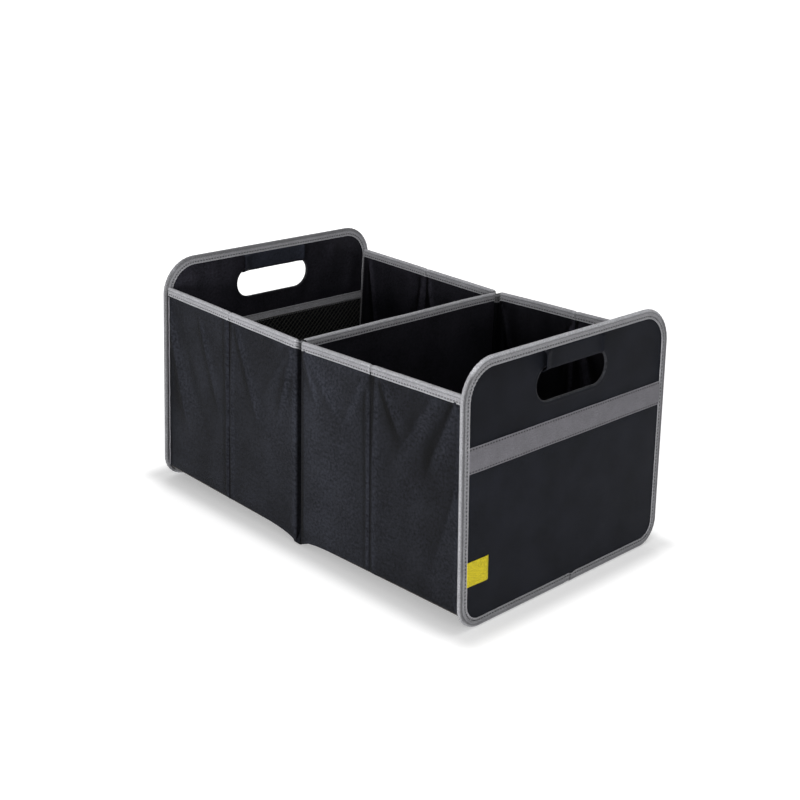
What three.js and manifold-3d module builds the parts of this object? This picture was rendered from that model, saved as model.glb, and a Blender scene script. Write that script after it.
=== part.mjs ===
import * as THREE from 'three';
import { mergeVertices } from 'three/addons/utils/BufferGeometryUtils.js';
import Module from 'manifold-3d';

// Folding storage box for a car boot: stiff bound end panels with grips, side walls that fold
// at their middle, a divider between two tucks of cloth, and two floor boards that lift.
// Millimetres, +Z up. The origin is under the middle of the box, on the surface it stands on.

// Overall size, over the end panels
const LENGTH = 500;
const WIDTH = 320;
const HEIGHT = 275;

// Sheet materials
const CLOTH = 0.4;
const TAPE = 1.0;
const BAND_THICKNESS = 0.7;
const TAB_THICKNESS = 0.3;
const END_BOARD = 1.4;
const WALL_BOARD = 1.4;
const FLOOR_BOARD = 1.6;
const GAP = 0.3;

// Binding tape round the end panels and along the top edges
const END_LEG = 10;
const TOP_LEG = 9.5;
const TAPE_ROUND = 1.3;

// End panels, whose tops lean in a little where the soft walls draw them together
const LEAN = 12;
const CORNER_TOP = 42;
const CORNER_BOTTOM = 28;
const BOARD_MARGIN = 1.2;

// Handle slot and grip sleeve
const SLOT_LENGTH = 110;
const SLOT_HEIGHT = 37;
const SLOT_BELOW_TOP = 27;
const SLOT_MARGIN = 1.5;
const GRIP_LENGTH = 94;
const GRIP_ROUND = 0.9;

// Outer pockets, their bands and the tab
const POCKET_HEIGHT = 190.5;
const BAND_HEIGHT = 26.5;
const TAB_LENGTH = 29;
const TAB_HEIGHT = 26;
const TAB_ABOVE_GROUND = 47.5;

// Net pocket inside the rear end
const NET_HEIGHT = 186.5;
const NET_HEM = 11;
const NET_COLUMNS = 15;
const NET_ROWS = 8;
const NET_STRAND = 4;

// Side walls, which hang lowest at the middle of the box
const WALL_BELOW_TOP = 32.5;
const WALL_BOTTOM = 15.5;
const WALL_INSET = 5;
const SAG = 5.5;
const FOLD_STRIP = 7;
const FOLD_CREASE = 0.8;
const FOLD_CREASE_WIDTH = 5;
const BOARD_CORNER = 4;

// Tucks of cloth at the middle of the long sides
const TUCK_WIDTH = 9;
const TUCK_DEPTH = 8;
const TUCK_BELOW_WALL = 4.5;

// Floor boards, which lift about an axis beside the divider
const HINGE_CLEARANCE = 0.6;
const FLOOR_END_CLEARANCE = 1.5;
const FLOOR_SIDE_CLEARANCE = 0.7;
const FLOOR_CORNER = 5;
const PULL_WIDTH = 24;
const PULL_LENGTH = 36;
const PULL_FROM_END = 5;

// Arcs
const CORNER_SEGMENTS = 9;
const SMALL_SEGMENTS = 3;

// Depths through an end panel, measured inwards from its outer face
const COVER_AT = TAPE + GAP;
const END_BOARD_AT = COVER_AT + CLOTH + GAP;
const LINING_AT = END_BOARD_AT + END_BOARD + GAP;
const INSIDE_AT = LINING_AT + CLOTH + GAP;
const PANEL_THICKNESS = INSIDE_AT + TAPE;
const PANEL_X = LENGTH / 2;

// Depths through a side wall, measured inwards from its outer face
const WALL_FACE = WIDTH / 2 - WALL_INSET;
const WALL_BOARD_AT = CLOTH + GAP;
const WALL_LINING_AT = WALL_BOARD_AT + WALL_BOARD + GAP;
const WALL_THICKNESS = WALL_LINING_AT + CLOTH;

// Lengths and heights that follow
const WALL_TOP = HEIGHT - WALL_BELOW_TOP;
const WALL_END = PANEL_X - PANEL_THICKNESS - GAP;
const WALL_START = TUCK_WIDTH / 2 + GAP;
const WALL_FOLD = (WALL_END + WALL_START) / 2;
const STACK_TOP = WALL_TOP - TAPE - GAP;
const STACK_BOTTOM = WALL_BOTTOM + CLOTH + GAP;
const SLOT_RADIUS = SLOT_HEIGHT / 2;
const SLOT_STRAIGHT = SLOT_LENGTH / 2 - SLOT_RADIUS;
const SLOT_Z = HEIGHT - SLOT_BELOW_TOP - SLOT_RADIUS;
const GRIP_ON_CURVE = Math.max(GRIP_LENGTH / 2 - SLOT_STRAIGHT, 0);
const GRIP_LOW = SLOT_Z + Math.sqrt(SLOT_RADIUS ** 2 - GRIP_ON_CURVE ** 2) - GAP - CLOTH;
const POCKET_HALF = WIDTH / 2 - END_LEG - GAP;
const DIVIDER_HALF = WALL_FACE - TUCK_DEPTH - GAP;
const DIVIDER_THICKNESS = WALL_BOARD + 2 * GAP + 2 * CLOTH;
const TAPED_THICKNESS = WALL_THICKNESS + 2 * GAP + 2 * TAPE;
const DIVIDER_TAPED = DIVIDER_THICKNESS + 2 * GAP + 2 * TAPE;
const HINGE_X = DIVIDER_TAPED / 2 + HINGE_CLEARANCE;
const FLOOR_START = HINGE_X + GAP;
const FLOOR_END = WALL_END - FLOOR_END_CLEARANCE;
const FLOOR_HALF = DIVIDER_HALF - FLOOR_SIDE_CLEARANCE;
const FLOOR_THICKNESS = FLOOR_BOARD + 2 * GAP + 2 * CLOTH;
const FLOOR_TOP = STACK_BOTTOM + FLOOR_THICKNESS;

const wasm = await Module();
wasm.setup();

// Solids

function toSolid(geometry) {
  const bare = new THREE.BufferGeometry();
  bare.setAttribute('position', geometry.getAttribute('position').clone());
  if (geometry.index) bare.setIndex(geometry.index.clone());
  const merged = mergeVertices(bare, 1e-4);
  return new wasm.Manifold(new wasm.Mesh({
    numProp: 3,
    vertProperties: new Float32Array(merged.getAttribute('position').array),
    triVerts: new Uint32Array(merged.index.array),
  }));
}

function toGeometry(solid) {
  const mesh = solid.getMesh();
  const geometry = new THREE.BufferGeometry();
  geometry.setAttribute('position', new THREE.BufferAttribute(mesh.vertProperties, 3));
  geometry.setIndex(new THREE.BufferAttribute(mesh.triVerts, 1));
  geometry.computeVertexNormals();
  return geometry;
}

function cut(body, ...tools) {
  let solid = toSolid(body);
  for (const tool of tools) solid = solid.subtract(toSolid(tool));
  return toGeometry(solid);
}

function extrude(shape, depth, curveSegments, round = 0) {
  return new THREE.ExtrudeGeometry(shape, {
    depth: depth - 2 * round,
    curveSegments,
    bevelEnabled: round > 0,
    bevelThickness: round,
    bevelSize: round,
    bevelSegments: SMALL_SEGMENTS,
  }).translate(0, 0, round);
}

// An outline in plan, extruded upwards
function risen(shape, low, high, segments = SMALL_SEGMENTS) {
  return extrude(shape, high - low, segments).translate(0, 0, low);
}

// An outline seen from the end of the box (y, z), extruded along x
function lengthwise(shape, from, to, segments = SMALL_SEGMENTS, round = 0) {
  const turn = new THREE.Matrix4().makeBasis(
    new THREE.Vector3(0, 1, 0),
    new THREE.Vector3(0, 0, 1),
    new THREE.Vector3(1, 0, 0),
  );
  const low = Math.min(from, to);
  const high = Math.max(from, to);
  return extrude(shape, high - low, segments, round).applyMatrix4(turn).translate(low, 0, 0);
}

// An outline seen from the side of the box (x, z), extruded along y
function crosswise(shape, from, to, segments = SMALL_SEGMENTS) {
  const low = Math.min(from, to);
  const high = Math.max(from, to);
  return extrude(shape, high - low, segments).rotateX(Math.PI / 2).translate(0, high, 0);
}

// Lets a straight wall or floor piece hang lower the nearer it is to the middle of the box
function sagged(geometry, end) {
  const slope = end * SAG / WALL_END;
  const shear = new THREE.Matrix4().makeShear(0, slope, 0, 0, 0, 0);
  return geometry.applyMatrix4(shear).translate(0, 0, -SAG);
}

// Draws a piece in towards the middle of the box, the more the higher it is
function leaning(geometry) {
  const at = geometry.getAttribute('position');
  for (let i = 0; i < at.count; i += 1) {
    at.setX(i, at.getX(i) * (1 - LEAN / HEIGHT * at.getZ(i) / PANEL_X));
  }
  return geometry;
}

// Outlines

function polygon(points) {
  return new THREE.Shape(points.map(([a, b]) => new THREE.Vector2(a, b)));
}

function roundedBox(left, low, right, high, lowRadius, highRadius) {
  const bottom = Math.max(lowRadius, 0.01);
  const top = Math.max(highRadius, 0.01);
  const shape = new THREE.Shape();
  shape.moveTo(left + bottom, low);
  shape.lineTo(right - bottom, low);
  shape.absarc(right - bottom, low + bottom, bottom, -Math.PI / 2, 0);
  shape.lineTo(right, high - top);
  shape.absarc(right - top, high - top, top, 0, Math.PI / 2);
  shape.lineTo(left + top, high);
  shape.absarc(left + top, high - top, top, Math.PI / 2, Math.PI);
  shape.lineTo(left, low + bottom);
  shape.absarc(left + bottom, low + bottom, bottom, Math.PI, 1.5 * Math.PI);
  return shape;
}

function panelOutline(inset) {
  const half = WIDTH / 2 - inset;
  return roundedBox(-half, inset, half, HEIGHT - inset,
    CORNER_BOTTOM - inset, CORNER_TOP - inset);
}

function slotOutline(grow) {
  const radius = SLOT_RADIUS + grow;
  const slot = new THREE.Path();
  slot.absarc(SLOT_STRAIGHT, SLOT_Z, radius, -Math.PI / 2, Math.PI / 2);
  slot.absarc(-SLOT_STRAIGHT, SLOT_Z, radius, Math.PI / 2, 1.5 * Math.PI);
  slot.closePath();
  return slot;
}

function pocketOutline(top) {
  const low = END_LEG + GAP;
  const corner = Math.max(CORNER_BOTTOM - low, 0.01);
  const shape = new THREE.Shape();
  shape.moveTo(-POCKET_HALF + corner, low);
  shape.lineTo(POCKET_HALF - corner, low);
  shape.absarc(POCKET_HALF - corner, low + corner, corner, -Math.PI / 2, 0);
  shape.lineTo(POCKET_HALF, top);
  shape.lineTo(-POCKET_HALF, top);
  shape.lineTo(-POCKET_HALF, low + corner);
  shape.absarc(-POCKET_HALF + corner, low + corner, corner, Math.PI, 1.5 * Math.PI);
  return shape;
}

// Tape folded over an edge: a U upside down, its middle at a, its crown at top
function tapeProfile(a, thickness, top, leg) {
  const out = thickness / 2;
  const inn = out - TAPE;
  const round = Math.min(TAPE_ROUND, out);
  const small = Math.max(round - TAPE, 0.05);
  const shape = new THREE.Shape();
  shape.moveTo(a - out, top - leg);
  shape.lineTo(a - inn, top - leg);
  shape.lineTo(a - inn, top - TAPE - small);
  shape.absarc(a - inn + small, top - TAPE - small, small, Math.PI, Math.PI / 2, true);
  shape.lineTo(a + inn - small, top - TAPE);
  shape.absarc(a + inn - small, top - TAPE - small, small, Math.PI / 2, 0, true);
  shape.lineTo(a + inn, top - leg);
  shape.lineTo(a + out, top - leg);
  shape.lineTo(a + out, top - round);
  shape.absarc(a + out - round, top - round, round, 0, Math.PI / 2);
  shape.lineTo(a - out + round, top);
  shape.absarc(a - out + round, top - round, round, Math.PI / 2, Math.PI);
  return shape;
}

// Materials

const FINISHES = {
  shell: { color: 0x1b1b1d, roughness: 0.85, metalness: 0 },
  lining: { color: 0x151517, roughness: 0.85, metalness: 0 },
  tape: { color: 0x77777a, roughness: 0.7, metalness: 0 },
  band: { color: 0x6d6a71, roughness: 0.65, metalness: 0 },
  board: { color: 0x2a2a2a, roughness: 0.6, metalness: 0 },
  net: { color: 0x111112, roughness: 0.9, metalness: 0 },
  tab: { color: 0xd2c81e, roughness: 0.6, metalness: 0 },
};

const box = new THREE.Group();

function add(name, geometry, finish, parent = box) {
  const mesh = new THREE.Mesh(geometry, new THREE.MeshStandardMaterial(FINISHES[finish]));
  mesh.name = name;
  parent.add(mesh);
  return mesh;
}

// End panels

// The stretch along x between two depths of the panel at one end
function depths(end, from, to) {
  return [end * (PANEL_X - from), end * (PANEL_X - to)];
}

function endSheet(end, from, thickness, inset, slotGrow) {
  const shape = panelOutline(inset);
  shape.holes.push(slotOutline(slotGrow));
  return lengthwise(shape, ...depths(end, from, from + thickness), CORNER_SEGMENTS);
}

function endBinding(end) {
  const whole = lengthwise(panelOutline(TAPE_ROUND), ...depths(end, 0, PANEL_THICKNESS),
    CORNER_SEGMENTS, TAPE_ROUND);
  const window = lengthwise(panelOutline(END_LEG), ...depths(end, -1, PANEL_THICKNESS + 1),
    CORNER_SEGMENTS);
  const channel = lengthwise(panelOutline(TAPE), ...depths(end, TAPE, INSIDE_AT),
    CORNER_SEGMENTS);
  return cut(whole, window, channel);
}

// Sleeve of cloth down one face of the panel, across the top of the slot and up the other face,
// so that the round slot gets a flat upper edge
function gripSleeve(end) {
  const outer = TAPE - CLOTH;
  const inner = INSIDE_AT + CLOTH;
  const top = HEIGHT - END_LEG - GAP;
  const small = Math.max(GRIP_ROUND - CLOTH, 0.05);
  const low = GRIP_LOW;
  const at = (depth) => end * (PANEL_X - depth);
  const shape = new THREE.Shape();
  shape.moveTo(at(outer), top);
  shape.lineTo(at(outer), low + GRIP_ROUND);
  shape.quadraticCurveTo(at(outer), low, at(outer + GRIP_ROUND), low);
  shape.lineTo(at(inner - GRIP_ROUND), low);
  shape.quadraticCurveTo(at(inner), low, at(inner), low + GRIP_ROUND);
  shape.lineTo(at(inner), top);
  shape.lineTo(at(inner - CLOTH), top);
  shape.lineTo(at(inner - CLOTH), low + CLOTH + small);
  shape.quadraticCurveTo(at(inner - CLOTH), low + CLOTH,
    at(inner - CLOTH - small), low + CLOTH);
  shape.lineTo(at(outer + CLOTH + small), low + CLOTH);
  shape.quadraticCurveTo(at(outer + CLOTH), low + CLOTH,
    at(outer + CLOTH), low + CLOTH + small);
  shape.lineTo(at(outer + CLOTH), top);
  return crosswise(shape, -GRIP_LENGTH / 2, GRIP_LENGTH / 2);
}

function pocketBand(end) {
  const shape = roundedBox(-POCKET_HALF, POCKET_HEIGHT - BAND_HEIGHT, POCKET_HALF,
    POCKET_HEIGHT, 0.5, 0.5);
  return lengthwise(shape, ...depths(end, TAPE - BAND_THICKNESS, TAPE));
}

function endPanel(end, place) {
  add(`${place}_end_cover`, leaning(endSheet(end, COVER_AT, CLOTH, TAPE + GAP, 0)), 'shell');
  add(`${place}_end_board`,
    leaning(endSheet(end, END_BOARD_AT, END_BOARD, TAPE + BOARD_MARGIN, SLOT_MARGIN)), 'board');
  add(`${place}_end_lining`, leaning(endSheet(end, LINING_AT, CLOTH, TAPE + GAP, 0)), 'lining');
  add(`${place}_end_binding`, leaning(endBinding(end)), 'tape');
  add(`${place}_grip_sleeve`, leaning(gripSleeve(end)), 'shell');
  const pocket = lengthwise(pocketOutline(POCKET_HEIGHT - BAND_HEIGHT - GAP),
    ...depths(end, TAPE - CLOTH, TAPE), CORNER_SEGMENTS);
  add(`${place}_outer_pocket`, leaning(pocket), 'shell');
  add(`${place}_pocket_band`, leaning(pocketBand(end)), 'band');
}

// Tab tucked against the binding on the pocket of the front end
function tab() {
  const deep = TAPE - CLOTH - GAP;
  const left = -POCKET_HALF;
  const shape = roundedBox(left, TAB_ABOVE_GROUND, left + TAB_LENGTH,
    TAB_ABOVE_GROUND + TAB_HEIGHT, 0.4, 0.4);
  return lengthwise(shape, ...depths(1, deep - TAB_THICKNESS, deep));
}

// Net of crossing strands: staggered rows of diamond gaps
function netPocket() {
  const top = NET_HEIGHT - NET_HEM - GAP;
  const low = END_LEG + GAP + CORNER_BOTTOM / 2;
  const shape = pocketOutline(top);
  const pitch = 2 * (POCKET_HALF - NET_STRAND) / (NET_COLUMNS + 0.5);
  const rise = (top - low - NET_STRAND) / NET_ROWS;
  const halfWidth = (pitch - NET_STRAND) / 2;
  const halfHeight = (rise - NET_STRAND / 2) / 2;
  for (let row = 0; row < NET_ROWS; row += 1) {
    const shift = row % 2 === 0 ? 0.5 : 1;
    const z = low + (row + 0.5) * rise;
    for (let column = 0; column < NET_COLUMNS; column += 1) {
      const y = -POCKET_HALF + NET_STRAND + (column + shift) * pitch;
      shape.holes.push(new THREE.Path([
        new THREE.Vector2(y - halfWidth, z),
        new THREE.Vector2(y, z - halfHeight),
        new THREE.Vector2(y + halfWidth, z),
        new THREE.Vector2(y, z + halfHeight),
      ]));
    }
  }
  return lengthwise(shape, ...depths(-1, INSIDE_AT, INSIDE_AT + CLOTH), CORNER_SEGMENTS);
}

function netHem() {
  const shape = roundedBox(-POCKET_HALF, NET_HEIGHT - NET_HEM, POCKET_HALF, NET_HEIGHT,
    0.5, 0.5);
  return lengthwise(shape, ...depths(-1, INSIDE_AT, INSIDE_AT + BAND_THICKNESS));
}

// Side walls

// A sheet of cloth along one half of a wall, pinched by the crease at its fold
function wallSheet(end, side, depth, crease) {
  const at = (x, inwards) => [end * x, side * (WALL_FACE - depth - inwards)];
  const half = FOLD_CREASE_WIDTH / 2;
  return polygon([
    at(WALL_START, 0),
    at(WALL_FOLD - half, 0),
    at(WALL_FOLD, crease),
    at(WALL_FOLD + half, 0),
    at(WALL_END, 0),
    at(WALL_END, CLOTH),
    at(WALL_FOLD + half, CLOTH),
    at(WALL_FOLD, CLOTH + crease),
    at(WALL_FOLD - half, CLOTH),
    at(WALL_START, CLOTH),
  ]);
}

function wallBoard(end, side, from, to) {
  const shape = roundedBox(Math.min(end * from, end * to), STACK_BOTTOM,
    Math.max(end * from, end * to), STACK_TOP, BOARD_CORNER, BOARD_CORNER);
  const near = side * (WALL_FACE - WALL_BOARD_AT);
  const far = side * (WALL_FACE - WALL_BOARD_AT - WALL_BOARD);
  return crosswise(shape, near, far);
}

function wallHalf(end, side, place) {
  const outer = risen(wallSheet(end, side, 0, FOLD_CREASE), WALL_BOTTOM, STACK_TOP);
  add(`${place}_wall_cloth`, leaning(sagged(outer, end)), 'shell');
  const lining = risen(wallSheet(end, side, WALL_LINING_AT, -FOLD_CREASE),
    STACK_BOTTOM, STACK_TOP);
  add(`${place}_wall_lining`, leaning(sagged(lining, end)), 'lining');
  const inner = wallBoard(end, side, WALL_START + GAP, WALL_FOLD - FOLD_STRIP / 2);
  add(`${place}_wall_board_inner`, leaning(sagged(inner, end)), 'board');
  const last = wallBoard(end, side, WALL_FOLD + FOLD_STRIP / 2, WALL_END - GAP);
  add(`${place}_wall_board_outer`, leaning(sagged(last, end)), 'board');
  const middle = side * (WALL_FACE - WALL_THICKNESS / 2);
  const tape = lengthwise(tapeProfile(middle, TAPED_THICKNESS, WALL_TOP, TOP_LEG),
    end * WALL_START, end * WALL_END);
  add(`${place}_wall_binding`, leaning(sagged(tape, end)), 'tape');
}

// Tuck of cloth that makes the groove between the two halves of a long side
function tuck(side) {
  const half = TUCK_WIDTH / 2;
  const at = (x, inwards) => [x, side * (WALL_FACE - inwards)];
  const shape = polygon([
    at(-half, 0),
    at(-half, TUCK_DEPTH),
    at(half, TUCK_DEPTH),
    at(half, 0),
    at(half - CLOTH, 0),
    at(half - CLOTH, TUCK_DEPTH - CLOTH),
    at(CLOTH - half, TUCK_DEPTH - CLOTH),
    at(CLOTH - half, 0),
  ]);
  return risen(shape, WALL_BOTTOM - SAG - TUCK_BELOW_WALL, STACK_TOP - SAG);
}

// Divider

function dividerSheet(from, to, corner) {
  const shape = roundedBox(-DIVIDER_HALF, STACK_BOTTOM - SAG, DIVIDER_HALF,
    STACK_TOP - SAG, corner, corner);
  return lengthwise(shape, from, to);
}

function divider() {
  const face = DIVIDER_THICKNESS / 2;
  add('divider_board', dividerSheet(-WALL_BOARD / 2, WALL_BOARD / 2, BOARD_CORNER), 'board');
  add('divider_cloth_front', dividerSheet(face - CLOTH, face, 0), 'lining');
  add('divider_cloth_rear', dividerSheet(-face, CLOTH - face, 0), 'lining');
  const tape = crosswise(tapeProfile(0, DIVIDER_TAPED, WALL_TOP - SAG, TOP_LEG),
    -DIVIDER_HALF, DIVIDER_HALF);
  add('divider_binding', tape, 'tape');
}

// Base cloth, notched round the tucks
function baseCloth(end) {
  const wide = WALL_FACE - CLOTH - FOLD_CREASE - GAP;
  const shape = polygon([
    [end * GAP / 2, -DIVIDER_HALF],
    [end * WALL_START, -DIVIDER_HALF],
    [end * WALL_START, -wide],
    [end * WALL_END, -wide],
    [end * WALL_END, wide],
    [end * WALL_START, wide],
    [end * WALL_START, DIVIDER_HALF],
    [end * GAP / 2, DIVIDER_HALF],
  ]);
  return sagged(risen(shape, WALL_BOTTOM, WALL_BOTTOM + CLOTH), end);
}

// Floor boards

function floorOutline(end, from, to, half, corner) {
  return roundedBox(Math.min(end * from, end * to), -half,
    Math.max(end * from, end * to), half, corner, corner);
}

function floorBoard(end, place) {
  const skin = CLOTH + GAP;
  const whole = risen(floorOutline(end, FLOOR_START, FLOOR_END, FLOOR_HALF, FLOOR_CORNER),
    STACK_BOTTOM, FLOOR_TOP);
  const pocket = risen(
    floorOutline(end, FLOOR_START - FLOOR_CORNER, FLOOR_END - CLOTH, FLOOR_HALF - CLOTH,
      FLOOR_CORNER - CLOTH),
    STACK_BOTTOM + CLOTH, FLOOR_TOP - CLOTH);
  add(`${place}_floor_sleeve`, sagged(cut(whole, pocket), end), 'lining');
  const board = risen(
    floorOutline(end, FLOOR_START + GAP, FLOOR_END - skin, FLOOR_HALF - skin,
      FLOOR_CORNER - skin),
    STACK_BOTTOM + skin, FLOOR_TOP - skin);
  add(`${place}_floor_board`, sagged(board, end), 'board');
  add(`${place}_pull_tab`, sagged(pullTab(end), end), 'lining');
}

// Ribbon folded back on itself, lying on the floor board near its free end
function pullTab(end) {
  const low = FLOOR_TOP + GAP;
  const high = low + 2 * CLOTH + GAP;
  const at = (x) => end * (FLOOR_END - PULL_FROM_END - x);
  const shape = polygon([
    [at(0), low],
    [at(PULL_LENGTH), low],
    [at(PULL_LENGTH), high],
    [at(0), high],
    [at(0), high - CLOTH],
    [at(PULL_LENGTH - CLOTH), high - CLOTH],
    [at(PULL_LENGTH - CLOTH), low + CLOTH],
    [at(0), low + CLOTH],
  ]);
  return crosswise(shape, -PULL_WIDTH / 2, PULL_WIDTH / 2);
}

// The whole box

const ENDS = [[1, 'front'], [-1, 'rear']];
const SIDES = [[-1, 'left'], [1, 'right']];

for (const [end, endName] of ENDS) {
  endPanel(end, endName);
  for (const [side, sideName] of SIDES) wallHalf(end, side, `${sideName}_${endName}`);
  add(`${endName}_base_cloth`, leaning(baseCloth(end)), 'shell');
  floorBoard(end, endName);
}
add('plain_tab', leaning(tab()), 'tab');
add('net_pocket', leaning(netPocket()), 'net');
add('net_hem', leaning(netHem()), 'band');
for (const [side, sideName] of SIDES) add(`${sideName}_tuck`, leaning(tuck(side)), 'shell');
divider();

export default box;
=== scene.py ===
import math

import bpy
import numpy as np
from bpy.props import FloatProperty, FloatVectorProperty, PointerProperty
from mathutils import Matrix, Vector


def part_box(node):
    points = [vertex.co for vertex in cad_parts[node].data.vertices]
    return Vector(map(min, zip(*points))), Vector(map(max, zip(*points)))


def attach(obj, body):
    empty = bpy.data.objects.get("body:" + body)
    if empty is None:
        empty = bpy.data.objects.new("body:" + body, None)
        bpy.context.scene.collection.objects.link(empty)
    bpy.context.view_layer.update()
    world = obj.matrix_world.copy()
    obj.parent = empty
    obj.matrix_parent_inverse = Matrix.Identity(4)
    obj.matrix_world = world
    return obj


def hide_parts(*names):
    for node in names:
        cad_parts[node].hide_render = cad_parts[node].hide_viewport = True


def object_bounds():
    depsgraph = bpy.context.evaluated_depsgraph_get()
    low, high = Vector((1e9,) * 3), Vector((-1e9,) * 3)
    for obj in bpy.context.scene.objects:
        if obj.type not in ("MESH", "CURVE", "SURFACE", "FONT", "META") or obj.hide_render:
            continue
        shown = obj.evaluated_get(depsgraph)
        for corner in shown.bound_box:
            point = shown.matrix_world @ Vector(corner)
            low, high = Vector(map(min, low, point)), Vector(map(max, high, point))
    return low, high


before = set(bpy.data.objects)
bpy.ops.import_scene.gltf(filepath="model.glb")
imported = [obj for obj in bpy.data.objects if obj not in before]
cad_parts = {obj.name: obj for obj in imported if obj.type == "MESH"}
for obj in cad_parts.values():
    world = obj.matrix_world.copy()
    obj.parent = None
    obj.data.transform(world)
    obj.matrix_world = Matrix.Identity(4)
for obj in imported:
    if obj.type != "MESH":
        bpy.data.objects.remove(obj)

bl_info = {
    "name": "Folding storage box",
    "version": (1, 0, 0),
    "blender": (4, 5, 0),
    "location": "3D View > Sidebar > Storage box",
    "description": "Cloth, tape, stitching and studio of a folding storage box",
    "category": "Object",
}

LOW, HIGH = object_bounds()


def box(node):
    low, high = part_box(node)
    return Vector(low), Vector(high)


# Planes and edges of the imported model, in metres. Planes across an end panel are those at its
# foot: from there up, the whole panel leans in.
PANEL_X = HIGH[0]
HALF_WIDTH = HIGH[1]
TOP = HIGH[2]
LEAN = 0.012
PANEL_THICKNESS = 0.0054
COVER_X = PANEL_X - 0.0015
LINING_X = PANEL_X - 0.0039
POCKET_X = PANEL_X - 0.0008
BAND_X = PANEL_X - 0.00065
NET_X = PANEL_X - 0.0046
HEM_X = PANEL_X - 0.00475
POCKET_HALF = box("front_pocket_band")[1].y
BAND_LOW, BAND_TOP = (c.z for c in box("front_pocket_band"))
POCKET_LOW = box("front_outer_pocket")[0].z
GRIP_LOW, GRIP_TOP = (c.z for c in box("front_grip_sleeve"))
GRIP_HALF = box("front_grip_sleeve")[1].y
WALL_FACE = box("right_front_wall_cloth")[1].y
WALL_START = 0.0048
WALL_END = PANEL_X - PANEL_THICKNESS - 0.0003
WALL_TOP = box("right_front_wall_binding")[1].z
WALL_STACK_TOP = box("right_front_wall_cloth")[1].z
LINING_Y = sum(c.y for c in box("right_front_wall_lining")) / 2
TUCK_BACK = box("right_tuck")[0].y
DIVIDER_HALF = box("divider_binding")[1].y
DIVIDER_TOP = box("divider_binding")[1].z
DIVIDER_LOW = box("divider_cloth_front")[0].z
SAG = WALL_TOP - DIVIDER_TOP
WALL_BOTTOM = box("front_base_cloth")[0].z + SAG
HEM_LOW, HEM_TOP = (c.z for c in box("net_hem"))

# Measures that several pieces share, in metres, and how far painted light and shade may go.
STITCH_ROW = 0.0083
STITCH_LIFT = 0.00005
LAP = 0.009
WALL_STACK = 0.0054
BOARD_SLEEVE = 0.0030
BASE_GAP = 0.0007
WEBBING = 0.0008
RIBBON = 0.0007
WELD = 0.00002
PAINTED_LIGHT_LIMITS = (-0.85, 0.8)
SHARP_EDGE = math.radians(42)
BEVELLED_EDGE = math.radians(60)

# The two ends and the two long sides: the sign of their coordinate, and their name.
ENDS = ((1, "front"), (-1, "rear"))
SIDES = ((-1, "left"), (1, "right"))


def measure(name, description, value, low, high):
    return FloatProperty(name=name, description=description, default=value, min=low, max=high,
                         subtype="DISTANCE", unit="LENGTH")


def shade(name, description, value):
    return FloatVectorProperty(name=name, description=description, subtype="COLOR",
                               size=3, min=0.0, max=1.0, default=value)


class BoxSizes(bpy.types.PropertyGroup):
    """Sizes of the cloth, tape and stitching."""
    cloth: measure("Cloth", "Thickness of the outer cloth", 0.0006, 0.0002, 0.002)
    thin_cloth: measure("Thin cloth", "Thickness of covers and linings", 0.0005, 0.0002, 0.002)
    tape: measure("Tape", "Thickness of the binding tape", 0.0009, 0.0004, 0.002)
    end_leg: measure("End tape leg", "Reach of the tape over an end panel", 0.010, 0.005, 0.02)
    top_leg: measure("Top tape leg", "Reach of the tape down a wall", 0.0095, 0.005, 0.02)
    corner_top: measure("Top corner", "Radius of a panel's upper corners", 0.042, 0.01, 0.08)
    corner_bottom: measure("Bottom corner", "Radius of its lower corners", 0.028, 0.01, 0.08)
    slot_length: measure("Slot length", "Length of the handle slot", 0.110, 0.08, 0.2)
    slot_height: measure("Slot height", "Height of the slot's round ends", 0.037, 0.02, 0.06)
    slot_below_top: measure("Slot below top", "From the panel's top to the slot", 0.027, 0.01, 0.06)
    stitch: measure("Stitch", "Length of one stitch", 0.0027, 0.001, 0.006)
    stitch_pitch: measure("Stitch pitch", "From one stitch to the next", 0.0040, 0.002, 0.008)
    net_pitch: measure("Net pitch", "From one strand to the next", 0.0052, 0.003, 0.012)


class BoxColours(bpy.types.PropertyGroup):
    """Colours of the finishes, as linear values."""
    shell: shade("Shell cloth", "Cloth on the outside", (0.0126, 0.0135, 0.0176))
    lining: shade("Lining cloth", "Cloth on the inside", (0.0148, 0.0142, 0.0188))
    tape: shade("Binding tape", "Tape round the edges", (0.318, 0.318, 0.336))
    thread: shade("Thread", "Thread of the stitches", (0.012, 0.012, 0.014))
    band: shade("Band", "Webbing at the mouths of the pockets", (0.190, 0.185, 0.205))
    net: shade("Net", "Strands of the net", (0.020, 0.021, 0.016))
    tab: shade("Tab", "Ribbon of the tab", (0.76, 0.62, 0.020))
    board: shade("Board", "Boards inside the cloth", (0.085, 0.075, 0.062))
    floor: shade("Floor", "Studio floor", (0.80, 0.80, 0.80))


def chosen():
    """The sizes that are set in the panel."""
    return bpy.context.scene.storage_box_sizes


# Shader work

class Value:
    """A socket of a finish that takes part in plain sums."""

    def __init__(self, finish, socket):
        self.finish = finish
        self.socket = socket

    def __add__(self, other):
        return self.finish.maths("ADD", self, other)

    def __radd__(self, other):
        return self.finish.maths("ADD", other, self)

    def __sub__(self, other):
        return self.finish.maths("SUBTRACT", self, other)

    def __rsub__(self, other):
        return self.finish.maths("SUBTRACT", other, self)

    def __mul__(self, other):
        return self.finish.maths("MULTIPLY", self, other)

    def __rmul__(self, other):
        return self.finish.maths("MULTIPLY", other, self)

    def sine(self):
        return self.finish.maths("SINE", self)

    def size(self):
        return self.finish.maths("ABSOLUTE", self)


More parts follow.
